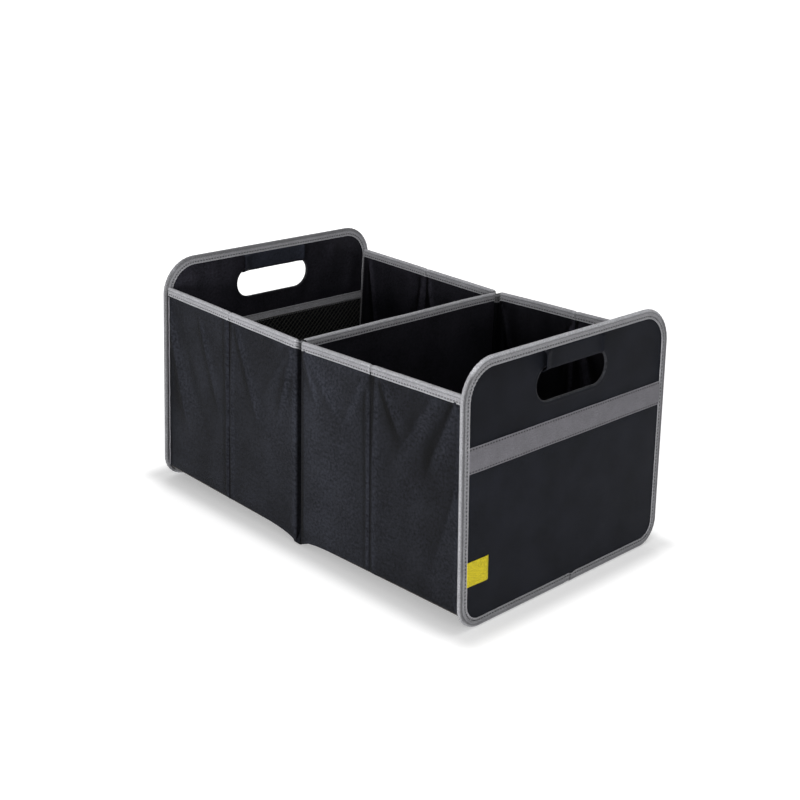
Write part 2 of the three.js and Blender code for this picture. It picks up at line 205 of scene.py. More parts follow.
class Finish:
    """The node tree of a material, or of the world."""

    def __init__(self, name, owner=None):
        self.owner = owner or bpy.data.materials.new(name)
        self.owner.use_nodes = True
        self.tree = self.owner.node_tree
        self.tree.nodes.clear()

    def node(self, kind, settings=None, inputs=None, output=0):
        """Adds a node, sets or links its inputs and gives one of its outputs."""
        node = self.tree.nodes.new(kind)
        for key, value in (settings or {}).items():
            setattr(node, key, value)
        for key, value in (inputs or {}).items():
            if isinstance(value, Value):
                self.tree.links.new(value.socket, node.inputs[key])
            else:
                node.inputs[key].default_value = value
        return Value(self, node.outputs[output]) if node.outputs else node

    def maths(self, operation, *values):
        return self.node("ShaderNodeMath", {"operation": operation}, dict(enumerate(values)))

    def split(self, vector):
        """The X and the Y of a vector."""
        outputs = self.node("ShaderNodeSeparateXYZ", None, {0: vector}).socket.node.outputs
        return Value(self, outputs[0]), Value(self, outputs[1])

    def bench(self):
        """Where a point lay on the bench, in metres: along and across the cloth."""
        return self.split(self.node("ShaderNodeTexCoord", output="UV"))

    def mix(self, factor, first, second):
        first = first if isinstance(first, Value) else (*first, 1.0)
        second = second if isinstance(second, Value) else (*second, 1.0)
        return self.node("ShaderNodeMix", {"data_type": "RGBA"},
                         {0: factor, 6: first, 7: second}, output=2)

    def join(self, x, y, z=0.0):
        return self.node("ShaderNodeCombineXYZ", None, {0: x, 1: y, 2: z})

    def noise(self, vector, scale, detail=3.0, roughness=0.5):
        return self.node("ShaderNodeTexNoise", None, {
            "Vector": vector, "Scale": scale, "Detail": detail, "Roughness": roughness})

    def blend(self, value, low, high, first=0.0, last=1.0):
        return self.node("ShaderNodeMapRange", {"interpolation_type": "SMOOTHSTEP"}, {
            0: value, 1: low, 2: high, 3: first, 4: last})

    def line(self, value, middle, half):
        return self.blend((value - middle).size(), 0.0, half, 1.0, 0.0)

    # Painted light and shade that a piece notes on its points, kept in its fold attribute.
    def fold(self):
        return self.node("ShaderNodeAttribute", {"attribute_name": "fold"}, None, output=2)

    def scaled(self, colour, factor):
        return self.node("ShaderNodeVectorMath", {"operation": "SCALE"}, {0: colour, 3: factor})

    def bump(self, height, distance, strength=1.0):
        return self.node("ShaderNodeBump", None, {
            "Strength": strength, "Distance": distance, "Height": height})

    def close(self, **inputs):
        shader = self.node("ShaderNodeBsdfPrincipled", None, inputs)
        self.node("ShaderNodeOutputMaterial", None, {"Surface": shader})
        return self.owner


def lighter(colour, factor):
    return tuple(min(c * factor, 1.0) for c in colour)


def woven_cloth(name, colour, sheen, speck=3.4):
    """Plain-woven polyester: single threads, uneven yarn and a faint cloudy mottle."""
    finish = Finish(name)
    along, across = finish.bench()
    turn = 2 * math.pi / 0.0008
    weave = (along * turn).sine() * (across * turn).sine()
    warp = finish.noise(finish.join(along * 1400, across * 90), 1.0, 2.0)
    weft = finish.noise(finish.join(along * 90, across * 1400, 3.0), 1.0, 2.0)
    grain = finish.noise(finish.join(along, across), 330.0, 3.0, 0.65)
    cloud = finish.noise(finish.join(along, across, 1.0), 24.0, 3.0, 0.55)
    yarn = warp * 0.5 + weft * 0.5
    tone = 0.5 + weave * 0.08 + (yarn - 0.5) * 1.1 + (grain - 0.5) * speck + (cloud - 0.5) * 1.1
    base = finish.mix(tone, lighter(colour, 0.45), lighter(colour, 1.60))
    # The piece's painted light and shade, from its fold attribute, scale the colour.
    base = finish.scaled(base, 1.0 + finish.fold())
    rough = 0.56 + (yarn - 0.5) * 0.25 + (grain - 0.5) * 0.3 + weave * 0.03
    height = weave * 0.5 + yarn * 0.9 + grain * 0.5
    return finish.close(**{
        "Base Color": base, "Roughness": rough, "Normal": finish.bump(height, 0.00022, 0.7),
        "Sheen Weight": sheen, "Sheen Roughness": 0.5, "Specular IOR Level": 0.05})


def ribbed_tape(name, colour, rib, contrast, row=0.0, crown=0.0, edge=1.0, lap=None, speck=2.2):
    """Ribbed tape: a painted highlight along its crown with a painted shade line beside it, stitch
    holes and a lighter woven edge.
    """
    finish = Finish(name)
    along, across = finish.bench()
    off = across.size()
    ribs = (along * (2 * math.pi / rib)).sine() * (across * (2 * math.pi / 0.0015)).sine()
    thread = finish.noise(finish.join(along * 160, across * 1800), 1.0, 2.0)
    grain = finish.noise(finish.join(along, across), 700.0, 2.0)
    cloud = finish.noise(finish.join(along, across), 60.0, 3.0)
    tone = 0.5 + ribs * 0.35 * contrast + (thread - 0.5) * 0.9
    tone = tone + (grain - 0.5) * speck + (cloud - 0.5) * 0.6
    base = finish.mix(tone, lighter(colour, 0.62), lighter(colour, 1.34))
    # The piece's painted light and shade, from its fold attribute, and a lighter woven edge.
    level = 1.0 + finish.fold() + finish.blend(off, edge - 0.0012, edge, 0.0, 0.32)
    # A painted highlight along the crown and a painted shade line in the crease beside it.
    if crown:
        level = level + finish.blend(off, crown - 0.0010, crown, 0.26, 0.0)
        level = level * (1.0 - finish.line(off, crown + 0.0006, 0.0010) * 0.30)
    if row:
        pitch = 2 * math.pi / chosen().stitch_pitch
        needle = 0.55 + (along * pitch - math.pi / 2).sine() * 0.45
        level = level * (1.0 - finish.line(off, row, 0.0013) * needle * 0.92)
    if lap:
        level = level * (1.0 - finish.line(along, lap, 0.0011) * 0.85)
    rough = 0.62 + (thread - 0.5) * 0.3 + ribs * 0.04
    height = ribs * 0.5 + thread * 0.5 + grain * 0.3
    return finish.close(**{
        "Base Color": finish.scaled(base, level), "Roughness": rough,
        "Normal": finish.bump(height, 0.0002, 0.8),
        "Sheen Weight": 0.04, "Sheen Roughness": 0.4, "Specular IOR Level": 0.25})


def sewing_thread(name, colour):
    """Twisted sewing thread."""
    finish = Finish(name)
    place = finish.node("ShaderNodeTexCoord", output="Object")
    twist = finish.noise(place, 2600.0, 2.0)
    base = finish.mix(twist, lighter(colour, 0.6), lighter(colour, 1.6))
    return finish.close(**{
        "Base Color": base, "Roughness": 0.55 + twist * 0.2,
        "Normal": finish.bump(twist, 0.0001, 0.6)})


def fibre_board(name, colour):
    """Grey-brown fibre board with pressed flecks."""
    finish = Finish(name)
    place = finish.node("ShaderNodeTexCoord", output="Object")
    fleck = finish.noise(place, 900.0, 4.0, 0.7)
    cloud = finish.noise(place, 40.0, 3.0)
    base = finish.mix(fleck * 0.7 + cloud * 0.4, lighter(colour, 0.6), lighter(colour, 1.4))
    return finish.close(**{
        "Base Color": base, "Roughness": 0.78 + (fleck - 0.5) * 0.2,
        "Normal": finish.bump(fleck, 0.0002, 0.5)})


FINISHES = {}


def finishes():
    """Makes every finish once, from the chosen colours."""
    if FINISHES:
        return FINISHES
    colours = bpy.context.scene.storage_box_colours
    cover = [c * factor for c, factor in zip(colours.shell, (0.86, 0.89, 0.96))]
    FINISHES.update({
        "shell": woven_cloth("shell_cloth", colours.shell, 0.015),
        "lining": woven_cloth("lining_cloth", colours.lining, 0.006, 1.8),
        "cover": woven_cloth("cover_cloth", cover, 0.012, 1.3),
        # A lighter copy of the shell colour for the slot rim: a painted highlight along the rolled
        # edge.
        "rim": woven_cloth("slot_rim_painted_highlight_cloth", (0.034, 0.035, 0.040), 0.02),
        "tape": ribbed_tape("binding_tape", colours.tape, 0.0018, 1.0, STITCH_ROW, 0.0036,
                            0.0104),
        "end_tape": ribbed_tape("end_binding_tape", colours.tape, 0.0018, 1.0, STITCH_ROW,
                                0.0036, 0.0109, LAP),
        "band": ribbed_tape("pocket_band", colours.band, 0.0009, 0.4, 0.0112, 0.0, 0.0133,
                            speck=0.9),
        "tab": ribbed_tape("tab_ribbon", colours.tab, 0.0006, 0.3),
        "net": sewing_thread("net_strand", colours.net),
        "thread": sewing_thread("stitch_thread", colours.thread),
        "board": fibre_board("fibre_board", colours.board)})
    return FINISHES


# Bench work: cloth and tape are laid flat, then put in place

def on_its_own(add, **settings):
    """Adds a primitive while nothing else is selected, and returns it."""
    if bpy.context.object and bpy.context.object.mode != "OBJECT":
        bpy.ops.object.mode_set(mode="OBJECT")
    bpy.ops.object.select_all(action="DESELECT")
    add(**settings)
    return bpy.context.active_object


def pick(piece):
    bpy.ops.object.select_all(action="DESELECT")
    piece.select_set(True)
    bpy.context.view_layer.objects.active = piece


def apply(piece, kind, **settings):
    """Adds one modifier to a piece and applies it."""
    pick(piece)
    modifier = piece.modifiers.new(kind.title(), kind)
    for key, value in settings.items():
        setattr(modifier, key, value)
    bpy.ops.object.modifier_apply(modifier=modifier.name)
    return piece


def edit(piece, *steps):
    """Runs mesh steps, each with its settings, over all of a piece."""
    pick(piece)
    bpy.ops.object.mode_set(mode="EDIT")
    for step, settings in steps:
        bpy.ops.mesh.select_all(action="SELECT")
        step(**settings)
    bpy.ops.object.mode_set(mode="OBJECT")


def read(items, key, width):
    flat = np.empty(len(items) * width)
    items.foreach_get(key, flat)
    return flat.reshape(-1, width)


def write(items, key, rows):
    items.foreach_set(key, rows.ravel())


def lay_flat(length, width, columns, rows):
    """A rectangle of cloth on the bench, from the origin, with its map in metres."""
    piece = on_its_own(bpy.ops.mesh.primitive_grid_add, x_subdivisions=columns,
                       y_subdivisions=rows, size=1.0)
    edit(piece, (bpy.ops.transform.resize, {"value": (length, width, 1.0)}),
         (bpy.ops.transform.translate, {"value": (length / 2, width / 2, 0.0)}))
    layer = piece.data.uv_layers.active
    layer.name = "bench"
    write(layer.data, "uv", read(layer.data, "uv", 2) * (length, width))
    return piece


def lay_tape(length, reach, columns, rows):
    """Tape on the bench, with the zero line of its map along its middle."""
    piece = lay_flat(length, 2 * reach, columns, rows)
    edit(piece, (bpy.ops.transform.translate, {"value": (0.0, -reach, 0.0)}))
    corners = piece.data.uv_layers.active.data
    write(corners, "uv", read(corners, "uv", 2) - (0.0, reach))
    return piece


def crowd(piece, spots, pull=0.6, reach=0.012):
    """Draws the columns of a bench piece together near some places along it."""
    points, corners = piece.data.vertices, piece.data.uv_layers.active.data
    for items, key, width in ((points, "co", 3), (corners, "uv", 2)):
        rows = read(items, key, width)
        along = rows[:, 0].copy()
        rows[:, 0] = along - pull * sum((along - s) * bell(along, s, reach) for s in spots)
        write(items, key, rows)
    piece.data.update()
    return piece


def thread_row(length, pitch, stitch, thickness):
    """A straight row of stitches on the bench, along X."""
    piece = on_its_own(bpy.ops.mesh.primitive_uv_sphere_add, segments=6, ring_count=5,
                       radius=0.5)
    edit(piece, (bpy.ops.transform.resize, {"value": (stitch, thickness, thickness)}),
         (bpy.ops.transform.translate, {"value": (pitch / 2, 0.0, 0.0)}))
    return apply(piece, "ARRAY", count=max(int(length / pitch), 1), use_relative_offset=False,
                 use_constant_offset=True, constant_offset_displace=(pitch, 0, 0))


def put(piece, place, leans=True):
    """Moves every point of a bench piece to its place on the box."""
    mesh = piece.data
    x, y, z = read(mesh.vertices, "co", 3).T
    done = np.stack([np.broadcast_to(c, x.shape) for c in place(x, y, z)], axis=1)
    if leans:
        done[:, 0] *= 1 - LEAN / TOP * done[:, 2] / PANEL_X
    write(mesh.vertices, "co", done)
    mesh.update()


def paint_light_and_shade(piece, tone):
    """Paints light and shade on a flat piece: notes how much lighter or darker than its cloth each
    point is drawn, kept in its fold attribute.
    """
    along, across, _ = read(piece.data.vertices, "co", 3).T
    layer = piece.data.attributes.new("fold", "FLOAT", "POINT")
    layer.data.foreach_set("value", np.clip(tone(along, across), *PAINTED_LIGHT_LIMITS))


def map_flat(piece):
    """Gives a placed sheet a map in metres, from how far across and up it lies."""
    mesh = piece.data
    loops = np.empty(len(mesh.loops), dtype=np.int32)
    mesh.loops.foreach_get("vertex_index", loops)
    write(mesh.uv_layers.active.data, "uv", read(mesh.vertices, "co", 3)[loops][:, 1:])


def raised(place, along, across, height, way):
    """A point at a height above a placed sheet, along the sheet's normal."""
    step = 0.0002
    spot = np.stack(place(along, across), axis=1)
    run = np.stack(place(along + step, across), axis=1)
    run = run - np.stack(place(along - step, across), axis=1)
    rise = np.stack(place(along, across + step), axis=1)
    rise = rise - np.stack(place(along, across - step), axis=1)
    normal = np.cross(run, rise)
    normal = normal / np.maximum(np.linalg.norm(normal, axis=1), 1e-12)[:, None]
    return tuple((spot + normal * (height * way)[:, None]).T)


def sew(name, place, length, across, height, way, pitch=None, stitch=None, thickness=0.0009):
    """A row of stitches on a placed sheet."""
    sizes = chosen()
    piece = thread_row(length, pitch or sizes.stitch_pitch, stitch or sizes.stitch, thickness)
    put(piece, lambda x, y, z: raised(place, x, y + across, z + height, way))
    edit(piece, (bpy.ops.mesh.normals_make_consistent, {"inside": False}))
    finished(piece, name, "thread", "shell")


def sew_legs(name, place, length, way, labels=("outer", "inner")):
    """Rows of stitches along both legs of a folded tape."""
    lift = chosen().tape / 2 + STITCH_LIFT
    for label, leg in zip(labels, (1, -1)):
        sew(f"{name}_stitches_{label}", place, length, leg * STITCH_ROW, lift, way)


def finished(piece, name, finish, body, *replaced):
    """Names a piece, gives it its finish and hangs it on its body."""
    piece.name = name
    piece.data.name = name
    piece.data.materials.clear()
    piece.data.materials.append(finishes()[finish])
    pick(piece)
    bpy.ops.object.shade_smooth_by_angle(angle=SHARP_EDGE)
    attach(piece, body)
    if replaced:
        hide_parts(*replaced)
    return piece


def dress(piece, place, thickness, name, finish, *replaced, body="shell", tone=None,
          leans=True, closed=False, mapped=False, bevel=None):
    """Paints light and shade on a bench piece, puts it in place, thickens it and gives it its
    finish.
    """
    if tone:
        paint_light_and_shade(piece, tone)
    put(piece, lambda x, y, z: place(x, y), leans)
    if closed:
        edit(piece, (bpy.ops.mesh.remove_doubles, {"threshold": WELD}))
    if mapped:
        map_flat(piece)
    apply(piece, "SOLIDIFY", thickness=thickness, offset=0.0)
    if bevel:
        apply(piece, "BEVEL", width=bevel[0], segments=bevel[1], limit_method="ANGLE",
              angle_limit=BEVELLED_EDGE)
    return finished(piece, name, finish, body, *replaced)


# Lines that cloth and tape follow

class Route:
    """A line in a plane, walked by its length; aside is to the left of the walk."""

    def __init__(self, points):
        points = np.array(points)
        keep = np.hypot(*np.diff(points, axis=0).T) > 1e-7
        points = np.concatenate([points[:1], points[1:][keep]])
        steps = np.hypot(*np.diff(points, axis=0).T)
        self.s = np.concatenate([[0.0], np.cumsum(steps)])
        self.length = float(self.s[-1])
        self.a, self.b = points.T
        ta, tb = np.gradient(self.a, self.s), np.gradient(self.b, self.s)
        size = np.hypot(ta, tb)
        self.na, self.nb = -tb / size, ta / size

    def side(self, s):
        return np.interp(s, self.s, self.na), np.interp(s, self.s, self.nb)

    def at(self, s, aside=0.0):
        na, nb = self.side(s)
        return (np.interp(s, self.s, self.a) + aside * na,
                np.interp(s, self.s, self.b) + aside * nb)


def rounded(corners, step=0.0008):
    """Points along straight stretches joined by arcs; corners are (a, b, radius)."""
    points = [np.array(corners[0][:2])]
    for before, corner, after in zip(corners, corners[1:], corners[2:]):
        here = np.array(corner[:2])
        inn = np.array(before[:2]) - here
        out = np.array(after[:2]) - here
        inn, out = inn / np.hypot(*inn), out / np.hypot(*out)
        angle = math.acos(np.clip(inn @ out, -1, 1))
        back = corner[2] / math.tan(angle / 2)
        middle = here + (inn + out) / np.hypot(*(inn + out)) * corner[2] / math.sin(angle / 2)
        start, end = here + inn * back, here + out * back
        points.extend(between(points[-1], start, step))
        turn = math.pi - angle
        count = max(int(corner[2] * turn / step), 8)
        first, last = start - middle, end - middle
        for k in range(1, count + 1):
            t = k / count
            points.append(middle + (first * math.sin((1 - t) * turn) +
                                    last * math.sin(t * turn)) / math.sin(turn))
    points.extend(between(points[-1], np.array(corners[-1][:2]), step))
    return points


def between(start, end, step):
    count = max(int(np.hypot(*(end - start)) / step), 1)
    return [start + (end - start) * k / count for k in range(1, count + 1)]


def panel_route(inset=0.0):
    """The outline of an end panel, from the middle of its lower edge."""
    sizes = chosen()
    half, low, high = HALF_WIDTH - inset, inset, TOP - inset
    below, above = sizes.corner_bottom - inset, sizes.corner_top - inset
    return Route(rounded([
        (0, low, 0), (half, low, below), (half, high, above), (-half, high, above),
        (-half, low, below), (0, low, 0)]))


def slot_route():
    """The handle slot, from the middle of its lower edge."""
    sizes = chosen()
    radius = sizes.slot_height / 2
    straight = sizes.slot_length / 2 - radius
    middle = TOP - sizes.slot_below_top - radius
    quarter = math.pi / 2

    def level(first, last, count, height):
        return [(straight * t, height) for t in np.linspace(first, last, count)]

    def arc(way, first, last):
        return [(way * straight + radius * math.cos(t), middle + radius * math.sin(t))
                for t in np.linspace(first, last, 40)]

    return Route(level(0, 1, 12, middle - radius) + arc(1, -quarter, quarter)
                 + level(1, -1, 24, middle + radius) + arc(-1, quarter, 3 * quarter)
                 + level(-1, 0, 12, middle - radius))


def bell(value, middle, width):
    """1 at the middle, fading softly to nothing on both sides."""
    return np.exp(-((value - middle) / width) ** 2)


def smooth(t):
    t = np.clip(t, 0.0, 1.0)
    return t * t * (3 - 2 * t)


def ripple(a, b, seed, wave, count=7):
    """Soft uneven relief between about -1 and 1, the same on every run."""
    dice = np.random.default_rng(seed)
    total = np.zeros(np.broadcast(a, b).shape)
    for _ in range(count):
        way, phase = dice.uniform(0, 2 * math.pi, 2)
        pace = 2 * math.pi / (wave * dice.uniform(0.7, 1.6))
        total = total + np.sin((a * math.cos(way) + b * math.sin(way)) * pace + phase)
    return total / math.sqrt(count * 2)


def tape_fold(across, stack, thickness, turn=0.0021):
    """Tape folded over an edge: how far beside its middle, and how far below its crown."""
    half = stack / 2 - thickness / 2
    turn = np.minimum(turn, half)
    size = np.abs(across)
    flat = half - turn
    bend = np.clip((size - flat) / turn, 0, math.pi / 2)
    down = np.maximum(size - flat - turn * math.pi / 2, 0)
    side = np.minimum(size, flat) + turn * np.sin(bend)
    drop = turn * (1 - np.cos(bend)) + down
    return np.sign(across) * side, drop + thickness / 2


def fold_reach(stack, leg, thickness, turn=0.0021):
    """Half the flat width of a tape whose legs reach down by leg."""
    half = stack / 2 - thickness / 2
    return half - turn + turn * math.pi / 2 + leg - thickness / 2 - turn


def seam_dip(drop):
    """Tape is drawn in along its row of stitches and along the crease beside its crown."""
    row = 0.00032 * bell(drop, 0.0074, 0.0009)
    return row + 0.00045 * bell(drop, 0.0033, 0.0006)


# End panels

def end_binding(end, node, name):
    """Tape folded round the whole edge of an end panel, lapped under the box."""
    sizes = chosen()
    route = panel_route()
    reach = fold_reach(PANEL_THICKNESS, sizes.end_leg, sizes.tape)

    def place(along, across):
        s = np.clip(along, 0, route.length)
        side, drop = tape_fold(across, PANEL_THICKNESS, sizes.tape)
        na, nb = route.side(s)
        turning = smooth((np.abs(na * nb) - 0.02) / 0.3)
        leg = smooth((drop - 0.003) / 0.006)
        way = np.sign(side)
        gather = np.sin(along * 2 * math.pi / 0.0056 + 1.3 * np.sin(along * 90))
        pucker = 0.00042 * turning * leg * gather
        crimp = 0.00022 * turning * (1 - leg) * gather
        proud = 0.00010 * leg * ripple(along, across, 3 if end > 0 else 4, 0.03)
        under = 0.0004 * (1 - smooth((along - LAP) / 0.0012))
        under = under - 0.0004 * bell(along - LAP, 0.003, 0.003)
        dip = seam_dip(drop) + 0.0006 * smooth((0.0085 - drop) / 0.006) * leg
        out = np.abs(side) - dip + pucker + proud - under * leg
        tip = 0.0014 * leg * bell(along - LAP, 0.004, 0.0035) * (drop > sizes.end_leg - 0.002)
        y, z = route.at(s, drop + under * (1 - leg) + crimp - tip)
        return end * (PANEL_X - PANEL_THICKNESS / 2 + way * out), y, z

    # Painted light and shade on the tape. Front: a painted highlight on the crown of the top run,
    # painted shade on the left run and deeper in the crease beside its crown, painted shade along
    # the bottom and on the outer part of the right run. Rear: painted shade on the crown and crease
    # of the left and top runs, and a deep painted shadow on the inner leg where it goes down behind
    # the wall.
    def tone(along, across):
        _, y, z = place(along, across)
        off = np.abs(across)
        beside = smooth((-y - HALF_WIDTH + 0.016) / 0.006)
        above = smooth((z - TOP + 0.016) / 0.006)
        under = smooth((0.016 - z) / 0.006)
        crease = bell(off, 0.0028, 0.0012)
        crown = 1 - smooth((off - 0.0020) / 0.0012)
        if end > 0:
            beside = beside * (1 - above) * (1 - under)
            far = smooth((y - HALF_WIDTH + 0.016) / 0.006) * (1 - above)
            outer = 1 - smooth((off - 0.0060) / 0.0015)
            return ((0.40 * above - 0.14 * beside) * crown - 0.82 * beside * crease
                    - 0.26 * under - 0.30 * far * outer * (1 - under))
        leg_in_painted_shadow = beside * smooth((WALL_TOP - z) / 0.004) * smooth((-across - 0.0036) / 0.0008)
        dark = np.maximum(beside, 0.95 * above)
        return -0.50 * dark * crown - 0.62 * dark * crease - 0.80 * leg_in_painted_shadow

    dress(lay_tape(route.length, reach, 560, 20), place, sizes.tape, name, "end_tape", node,
          tone=tone)
    sew_legs(name, place, route.length, end)


def drape(y, z, seed):
    """Soft upright folds in an end lining, above the net and clear of the binding."""
    corner = chosen().corner_top
    beside, above = np.abs(y) - (HALF_WIDTH - corner), z - (TOP - corner)
    inside = corner - np.hypot(np.maximum(beside, 0), np.maximum(above, 0))
    inside = inside - np.minimum(np.maximum(beside, above), 0)
    clear = smooth((inside - 0.011) / 0.010) * smooth((z - HEM_TOP - 0.001) / 0.012)
    folds = 0.9 * ripple(y, z * 0.22, seed + 7, 0.034)
    return 0.0011 * clear * np.log1p(np.exp(folds * 2)) / 2


def end_sheet(end, node, plane, curl, seed, finish):
    """Cloth over one face of an end panel, turned in round the handle slot."""
    rim = 0.0015
    outer = panel_route(rim)
    slot = slot_route()
    turned = 0.12

    def bench(along, across):
        """Along is the way round from 0 to 1, across runs from the slot to the edge."""
        turn = np.clip(across / turned, 0, 1)
        grow = rim * (1 - np.cos(turn * math.pi / 2))
        away = np.clip((across - turned) / (1 - turned), 0, 1) ** 1.15
        sy, sz = slot.at(along * slot.length, -grow)
        oy, oz = outer.at(along * outer.length)
        deep = curl * (1 - np.sin(turn * math.pi / 2))
        y, z = sy + (oy - sy) * away, sz + (oz - sz) * away
        free = smooth(away * 6) * smooth((1 - away) * 5)
        relief = 0.00035 * free * ripple(y, z, seed, 0.085)
        if curl < 0:
            relief = relief + free * drape(y, z, seed)
        from_slot = np.hypot(y - sy, z - sz)
        relief = relief - 0.00030 * bell(from_slot, 0.0042, 0.0009)
        return y, z, deep, relief

    def place(along, across):
        y, z, deep, relief = bench(along, across)
        out = 1 if curl > 0 else -1
        return end * (plane - deep + out * relief), y, z

    # Painted light and shade: the cover is drawn darker towards one side and lighter towards the
    # other; the lining gets painted light and shade on the flanks of its drape folds and a painted
    # pool of light on its −Y side.
    def tone(along, across):
        y, z, _, _ = bench(along, across)
        if curl > 0:
            return -0.18 + 0.16 * smooth((end * y + HALF_WIDTH) / 0.26)
        slope = (drape(y + 0.0008, z, seed) - drape(y - 0.0008, z, seed)) / 0.0016
        return 2.2 * slope + 0.75 * smooth((-0.05 - y) / 0.06)

    piece = dress(lay_flat(1.0, 1.0, 208, 28), place, chosen().thin_cloth, f"{node}_cloth",
                  finish, node, tone=tone, closed=True, mapped=True)


def grip_sleeve(end, node):
    """Folded cloth down one face, under the top of the slot and up the other face."""
    outer, inner = PANEL_X - 0.0006, PANEL_X - 0.0048
    low, high = GRIP_LOW + 0.0003, GRIP_TOP
    bend = 0.0012
    route = Route(rounded([
        (outer, high, 0), (outer, low, bend), (inner, low, bend), (inner, high, 0)], 0.0003))
    width = 2 * GRIP_HALF
    drop = high - low

    def place(along, across):
        wave = 0.00020 * (1 + ripple(along, across, 21, 0.03))
        edge = np.minimum(across, width - across)
        hem = 0.00045 * smooth((0.0040 - edge) / 0.0006) - 0.00025 * bell(edge, 0.0046, 0.0006)
        near = np.clip(np.minimum(along, route.length - along) / drop, 0, 1)
        held = smooth(near * 12) * (1 - 0.75 * smooth((near - 0.86) / 0.14))
        loose = 0.0006 + 0.0042 * smooth((0.013 - across) / 0.013)
        loose = loose + 0.0016 * smooth((0.010 - (width - across)) / 0.010)
        x, z = route.at(along, wave + hem * held + loose * held)
        y = across - width / 2
        return end * x, y, z

    # Painted light: on the rear sleeve, the half on the panel's inner face is drawn paler.
    def tone(along, across):
        painted_light_level = 0.80 if end < 0 else 0.0
        return painted_light_level * smooth((along / route.length - 0.5) * 9)

    piece = dress(lay_flat(route.length, width, 64, 64), place, chosen().cloth,
                  f"{node}_cloth", "cover", node, tone=tone)


def slot_rim(end, place):
    """Rolled edge round the handle slot with its row of stitches on the outer face."""
    route = slot_route()
    stack = PANEL_THICKNESS - 0.0022
    thickness, leg, bend = chosen().thin_cloth, 0.0014, 0.0007
    reach = fold_reach(stack, leg, thickness, bend)

    def spot(along, across):
        side, drop = tape_fold(across, stack, thickness, bend)
        y, z = route.at(along % route.length, -(drop - thickness))
        x = PANEL_X - PANEL_THICKNESS / 2 + side
        x = x + 0.00012 * ripple(along, across, 141, 0.02)
        return end * x, y, z

    # The rim's cloth is drawn lighter than the cover: a painted highlight along the rolled edge.
    dress(lay_tape(route.length, reach, 260, 12), spot, thickness, f"{place}_slot_rim", "rim",
          closed=True)

    def seam(along, across):
        y, z = route.at(along % route.length, -across)
        return end * (COVER_X + 0.0001 + 0 * along), y, z

    sew(f"{place}_slot_stitches", seam, route.length, 0.0042, 0.0001, end,
        pitch=0.0034, stitch=0.0026, thickness=0.0006)


def rounded_half(away, half, radius):
    """Half the width of a sheet with rounded corners, some way from the edge they are on."""
    away = np.clip(away, 0, radius)
    return half - radius + np.sqrt(radius ** 2 - (radius - away) ** 2)


def outer_pocket(end, node):
    """Flat pocket on the outside of an end panel, gathered in a little at its corners."""
    sizes = chosen()
    low, high = POCKET_LOW, BAND_LOW + 0.002
    radius = sizes.corner_bottom - low

    def place(along, across):
        z = low + across
        half = rounded_half(z - low, POCKET_HALF, radius) + 0.002
        y = (along / POCKET_HALF - 1) * half
        inside = smooth((1 - np.abs(along / POCKET_HALF - 1)) * 9) * smooth(across / 0.02)
        inside = inside * smooth((high - z) / 0.03)
        swell = 0.0005 * inside + 0.00025 * inside * ripple(y, z, 31 + end, 0.10)
        behind = 0.0006 * (1 - smooth((high - z) / 0.006))
        return end * (POCKET_X + swell - behind), y, z

    piece = dress(lay_flat(2 * POCKET_HALF, high - low, 72, 36), place, sizes.thin_cloth,
                  f"{node}_cloth", "cover", node, mapped=True)


def webbing(end, node, plane, low, high, swell, seed, finish="band"):
    """A band of webbing across an end panel, sewn along both its edges."""
    width = high - low
    reach = POCKET_HALF + 0.0006

    def place(along, off):
        across = off + width / 2
        t = np.clip(across / width, 0, 1)
        rise = np.sin(t * math.pi) ** 0.6 * swell
        dip = 0.00022 * (bell(across, 0.0022, 0.0007)
                         + bell(width - across, 0.0022, 0.0007))
        ends = np.minimum(along, 2 * reach - along)
        dip = dip + 0.00035 * bell(ends, 0.0045, 0.0008)
        wave = 0.00018 * ripple(along, across, seed, 0.06) * smooth(ends / 0.02)
        return end * (plane + rise - dip + wave), along - reach, low + across

    dress(lay_tape(2 * reach, width / 2, 120, 18), place, WEBBING, f"{node}_webbing", finish,
          node, bevel=(0.00025, 2))


class AddEndBindings(bpy.types.Operator):
    """Folds the grey tape round the edges of both end panels and sews it down"""
    bl_idname = "storage_box.end_bindings"
    bl_label = "End bindings"

    def execute(self, context):
        for end, place in ENDS:
            end_binding(end, f"{place}_end_binding", f"{place}_end_tape")
        return {"FINISHED"}


class AddEndCloths(bpy.types.Operator):
    """Lays the cover and the lining on both end panels, turned in round the slots"""
    bl_idname = "storage_box.end_cloths"
    bl_label = "End cloths"

    def execute(self, context):
        meet = (COVER_X - LINING_X) / 2
        for end, place, seed in ((1, "front", 11), (-1, "rear", 14)):
            end_sheet(end, f"{place}_end_cover", COVER_X, meet - 0.0003, seed, "cover")
            end_sheet(end, f"{place}_end_lining", LINING_X, 0.0003 - meet, seed + 1, "lining")
        return {"FINISHED"}


class AddGrips(bpy.types.Operator):
    """Wraps a sleeve of cloth round the top of each handle slot"""
    bl_idname = "storage_box.grips"
    bl_label = "Grip sleeves"

    def execute(self, context):
        for end, place in ENDS:
            grip_sleeve(end, f"{place}_grip_sleeve")
            slot_rim(end, place)
        return {"FINISHED"}


class AddPockets(bpy.types.Operator):
    """Adds the outer pockets with their bands of webbing"""
    bl_idname = "storage_box.pockets"
    bl_label = "Outer pockets"

    def execute(self, context):
        for end, place in ENDS:
            outer_pocket(end, f"{place}_outer_pocket")
            webbing(end, f"{place}_pocket_band", BAND_X, BAND_LOW, BAND_TOP, 0.0007, 41)
        return {"FINISHED"}


